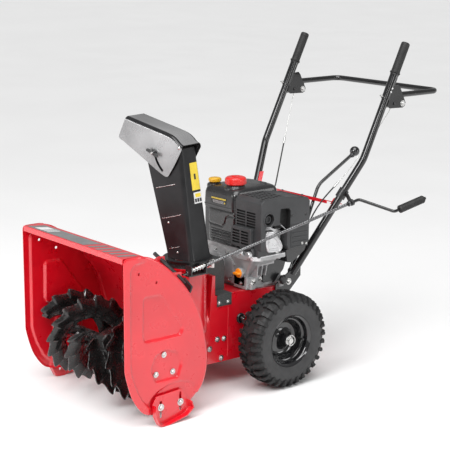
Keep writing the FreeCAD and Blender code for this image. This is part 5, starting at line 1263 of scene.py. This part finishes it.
# slanted duct under the hood's rear corner, and the throttle pipe
m = Mesh()
yz(m, rpoly([(64, 452), (162, 470), (150, 440), (92, 404), (70, 408)], [3, 4, 6, 4, 4]), 104, 190, 0)
tube(m, fillet([(122, 92, 398), (112, 118, 372), (84, 122, 338), (70, 118, 330)], 16), 6, 18, 1)
lathe(m, [(0, 0), (0, 7.6), (12, 7.6), (14, 6), (14, 0)], (120, 86, 400), (0.5, -0.6, 0.6), 20, 1)
yz(m, even(rpoly([(4, 334), (12, 394), (30, 416), (96, 418), (112, 398), (100, 366), (58, 334)], [8, 14, 14, 16, 14, 24, 14], 6), 6.0), 108, 137, 0)
tube(m, fillet([(128, 108, 392), (126, 84, 352), (126, 66, 330), (126, 54, 328)], 10), 5, 16, 1)
piece("rear_duct", m, "chassis", [TANK, BLACK2], bevel=0.8, angle=35)

# belt cover
dress("belt_cover", COVER, 2.2, segs=3)
m = Mesh()
bolt(m, (110, -194, 325.6), (0, 0, 1), 5.5, 4.6, True, 0)
for y, z in ((-188, 297), (-150, 296)):
    bolt(m, (138.8, y, z), (1, 0, 0), 5, 4, True, 0)
for x in (-60, 60):
    bolt(m, (x, -198.8, 400), (0, -1, 0), 5, 4, True, 0)
piece("cover_screws", m, "chassis", ZINC, bevel=0.3, angle=28)
# round plastic plug on the frame's side
m = Mesh()
for s in (1, -1):
    lathe(m, [(0, 0), (0, 17.5), (2, 18), (6, 17), (8, 14), (9, 9), (16, 8), (18, 6), (18, 0)], (s * 135.1, -92, 227), (s, 0, 0), 44, 0)
    lathe(m, [(17, 0), (17, 4.4), (20, 3.6), (20.6, 0)], (s * 135.1, -92, 227), (s, 0, 0), 20, 1)
piece("frame_plugs", m, "chassis", [BLACK, ZINC], angle=38)
# folded flange along the frame's top and a weld line down its side
m = Mesh()
for s in (1, -1):
    yz(m, [(-196, 325), (-119, 324), (92, 310), (92, 306.8), (-119, 320.8), (-196, 321.8)], s * 118, s * 136.4, 0)
    tube(m, [(s * 135.2, -146, 292), (s * 135.2, -148, 100)], 1.1, 10)
    for yy in np.linspace(-120, 80, 5):
        pass
piece("frame_flange", m, "chassis", RED, bevel=0.6, angle=35)

# ================================================================== handles and controls
dress(["handle_left", "handle_right", "bail"], TUBE, 0.7, angle=42)
dress(["shift_lever"], TUBE, 0)
dress("shift_knob", RIM, 0)


def hp(t, s):
    pts = [(140, 140, 346), (258, 356.5, 744), (258, 550, 1134)]
    a, b = (pts[0], pts[1]) if t < 744 else (pts[1], pts[2])
    k = (t - a[2]) / (b[2] - a[2])
    return V(s * (a[0] + (b[0] - a[0]) * k), a[1] + (b[1] - a[1]) * k, t)


m = Mesh()
for s in (1, -1):
    a, b = hp(1034, s), hp(1134, s)
    d = (b - a).normalized()
    L = (b - a).length
    prof = [(-0.5, 13.2), (-0.5, 17.6), (1, 18.6), (3.4, 18.6), (5, 16.2)]
    k = 8.0
    while k < L - 10:
        prof += [(k, 15.7), (k + 2.6, 15.7), (k + 3.1, 15.1), (k + 3.9, 15.1), (k + 4.4, 15.7)]
        k += 6.0
    prof += [(L - 5, 15.6), (L + 0.5, 15.0), (L + 3.0, 12.4), (L + 3.9, 8), (L + 4.1, 0)]
    lathe(m, prof, a, d, 48)
piece("foam_grips", m, "chassis", RUBBER, "hand_grips", angle=42)
m = Mesh()
for s in (1, -1):
    # clips, sleeve rings and the little spring pins
    for t, w in ((947, 3.0), (1029, 2.4)):
        a = hp(t, s)
        d = (hp(1100, s) - hp(900, s)).normalized()
        lathe(m, [(0, 13.1), (0, 16.2), (w, 16.2), (w, 13.1)], a, d, 40, 0, closed=True)
    d = (hp(1100, s) - hp(900, s)).normalized()
    q = hp(952, s)
    f = V(0, -1, 0.5).normalized()
    tube(m, [q + V(0, 0, 0) - V(0, 12, -4), q - V(0, 30, -10)], 2.2, 12, 1)
    lathe(m, [(0, 0), (0, 4.4), (3, 4.4), (3, 0)], q - V(0, 20, -7), V(0, -1, 0.35), 16, 1)
    # small generic marks on the sleeves
    for j, t in enumerate((972, 984)):
        c = hp(t, s)
        side = V(s, 0, 0)
        lathe(m, [(0, 0), (0, 3.4), (0.5, 3.2), (0.6, 0)], c + side * 14.7 + V(0, 0, 0), side, 16, 2)
piece("handle_clips", m, "chassis", [BLACK2, ZINC, SILD], angle=40)
m = Mesh()
for s in (1, -1):
    bolt(m, (s * 243.6, 530, 928), (-s, 0, 0), 7.5, 4.2, True, 0)
    bolt(m, (s * 272.3, 530, 928), (s, 0, 0), 7.5, 4.6, True, 0)
    tube(m, [(s * 243.4, 530, 928), (s * 272.5, 530, 928)], 4.9, 20)
    bolt(m, (s * 272.3, 489, 930), (s, 0, 0), 6.2, 4, False, 1)
    bolt(m, (s * 243.6, 489, 930), (-s, 0, 0), 6.2, 4, False, 1)
    for y, z in ((84, 268), (120, 322)):
        bolt(m, (s * 144.2, y, z), (s, 0, 0), 8, 6, True, 0)
    # black knobs on the folding bolts
    lathe(m, [(0, 0), (0, 15), (2, 16.5), (14, 16), (17, 12), (18, 6), (18, 0)], (s * 150.5, 84, 338), (s, -0.25, 0), 60, 1, mod=lambda a, r, t: 1 + (0.08 * cos(6 * t) if r > 14 else 0))
    tube(m, [(s * 139, 86, 338), (s * 152, 84, 338)], 4, 16, 0)
bolt(m, (118, 149, 350), (0, -1, 0), 7.2, 4, True, 0)
tube(m, [(118, 148.6, 350), (118, 175, 350)], 4.7, 20)
piece("control_bolts", m, "chassis", [ZINC, BLACK2], "handle_bolts", bevel=0.3, angle=28)
m = Mesh()
for s in (1, -1):
    if s > 0:
        pts = [(254, 496, 934), (251, 487, 903), (235, 430, 820), (226, 318, 705), (186, 212, 590), (150, 150, 440), (126, 112, 299.4)]
        P = fillet(pts, [60, 150, 200, 300, 200], 3)
        zsplit = 660
    else:
        pts = [(-254, 496, 934), (-251, 487, 903), (-113, 280, 600), (-128, 196, 500), (-150, 150, 440), (-126, 112, 299.4)]
        P = fillet(pts, [60, 60, 120, 150], 3)
        zsplit = 614
    upper = [p for p in P if p.z > zsplit]
    lower = [p for p in P if p.z <= zsplit + 0.01]
    cutp = upper[-1].lerp(lower[0], 0.5)
    tube(m, upper + [cutp], 1.1, 12, 1, twist=lambda a, t: 1 + 0.12 * cos(3 * a + t * 2.0))
    tube(m, [cutp] + lower, 2.5, 16, 0)
    dd = (upper[-1] - lower[0]).normalized()
    lathe(m, [(-14, 2.4), (-14, 3.6), (10, 3.6), (13, 2.4), (16, 1.2)], cutp, dd, 20, 2)
    lathe(m, [(0, 0), (0, 3.2), (10, 3.2), (11, 1.4), (11, 0)], V(*pts[0]), V(*pts[1]) - V(*pts[0]), 16, 2)
piece("cable_runs", m, "chassis", [RUBBER, WIRE, ZINC], "clutch_cables", angle=50, doubles=0)
m = Mesh()
lathe(m, [(-3, 0), (-3, 8.4), (0, 9.4), (4, 9.0), (8, 6.4), (9, 6.1), (9, 0)], V(104.5, 457, 729) + V(0, 0, 0), V(-0.04, -0.88, -0.46), 24)
piece("knob_collar", m, "shifter", BLACK2, angle=40)

# ================================================================== light and floor
sc = bpy.context.scene
w = bpy.data.worlds.new("studio")
sc.world = w
w.use_nodes = True
wn = w.node_tree
wn.nodes.clear()
wo_ = wn.nodes.new("ShaderNodeOutputWorld")
bg = wn.nodes.new("ShaderNodeBackground")
bg2 = wn.nodes.new("ShaderNodeBackground")
lp = wn.nodes.new("ShaderNodeLightPath")
mx = wn.nodes.new("ShaderNodeMixShader")
bg.inputs[0].default_value, bg.inputs[1].default_value = (1, 1, 1, 1), 0.30
bg2.inputs[0].default_value, bg2.inputs[1].default_value = (1, 1, 1, 1), 1.0
wn.links.new(lp.outputs["Is Camera Ray"], mx.inputs[0])
wn.links.new(bg.outputs[0], mx.inputs[1])
wn.links.new(bg2.outputs[0], mx.inputs[2])
wn.links.new(mx.outputs[0], wo_.inputs[0])


def area(name, loc, target, size, power, sy=None):
    d = bpy.data.lights.new(name, "AREA")
    d.shape, d.size, d.size_y, d.energy = "RECTANGLE", size, sy or size, power
    o = bpy.data.objects.new(name, d)
    sc.collection.objects.link(o)
    o.location = loc
    o.rotation_mode = "QUATERNION"
    o.rotation_quaternion = (Vector(target) - Vector(loc)).to_track_quat("-Z", "Y")
    o.visible_camera = False
    return o


area("key", (0.9, -2.9, 2.6), (0, -0.1, 0.4), 1.4, 72)
area("side", (3.0, 2.3, 1.3), (0.2, -0.3, 0.35), 1.3, 18, 1.3)
area("front", (-1.6, -3.2, 1.5), (0, -0.3, 0.4), 1.2, 22)
area("strip", (2.3, -0.6, 2.2), (0.1, 0.1, 0.7), 0.30, 14, 2.2)
sd = bpy.data.lights.new("sky", "SUN")
sd.energy, sd.angle = 2.3, rad(50)
so = bpy.data.objects.new("sky", sd)
sc.collection.objects.link(so)
so.rotation_mode = "QUATERNION"
so.rotation_quaternion = Vector((-0.25, 0.30, -1.0)).to_track_quat("-Z", "Y")

fm = bpy.data.meshes.new("floor")
k = 40
vs, fs = [], []
for i in range(k + 1):
    for j in range(k + 1):
        x, y = (i / k - 0.5) * 120, (j / k - 0.5) * 120
        vs.append((x, y, -0.0006))
for i in range(k):
    for j in range(k):
        a = i * (k + 1) + j
        fs.append((a, a + k + 1, a + k + 2, a + 1))
fm.from_pydata(vs, [], fs)
FLOOR = mat("floor_pale", (0.86, 0.86, 0.86), 0.65, var=0.01, vs=0.6, bump=0.01, bs=60, rvar=0.05)
fm.materials.append(FLOOR)
fo = bpy.data.objects.new("floor", fm)
sc.collection.objects.link(fo)
sc.view_settings.view_transform = "Standard"
sc.view_settings.look = "None"
sc.view_settings.exposure = 0.0
sc.view_settings.gamma = 1.0
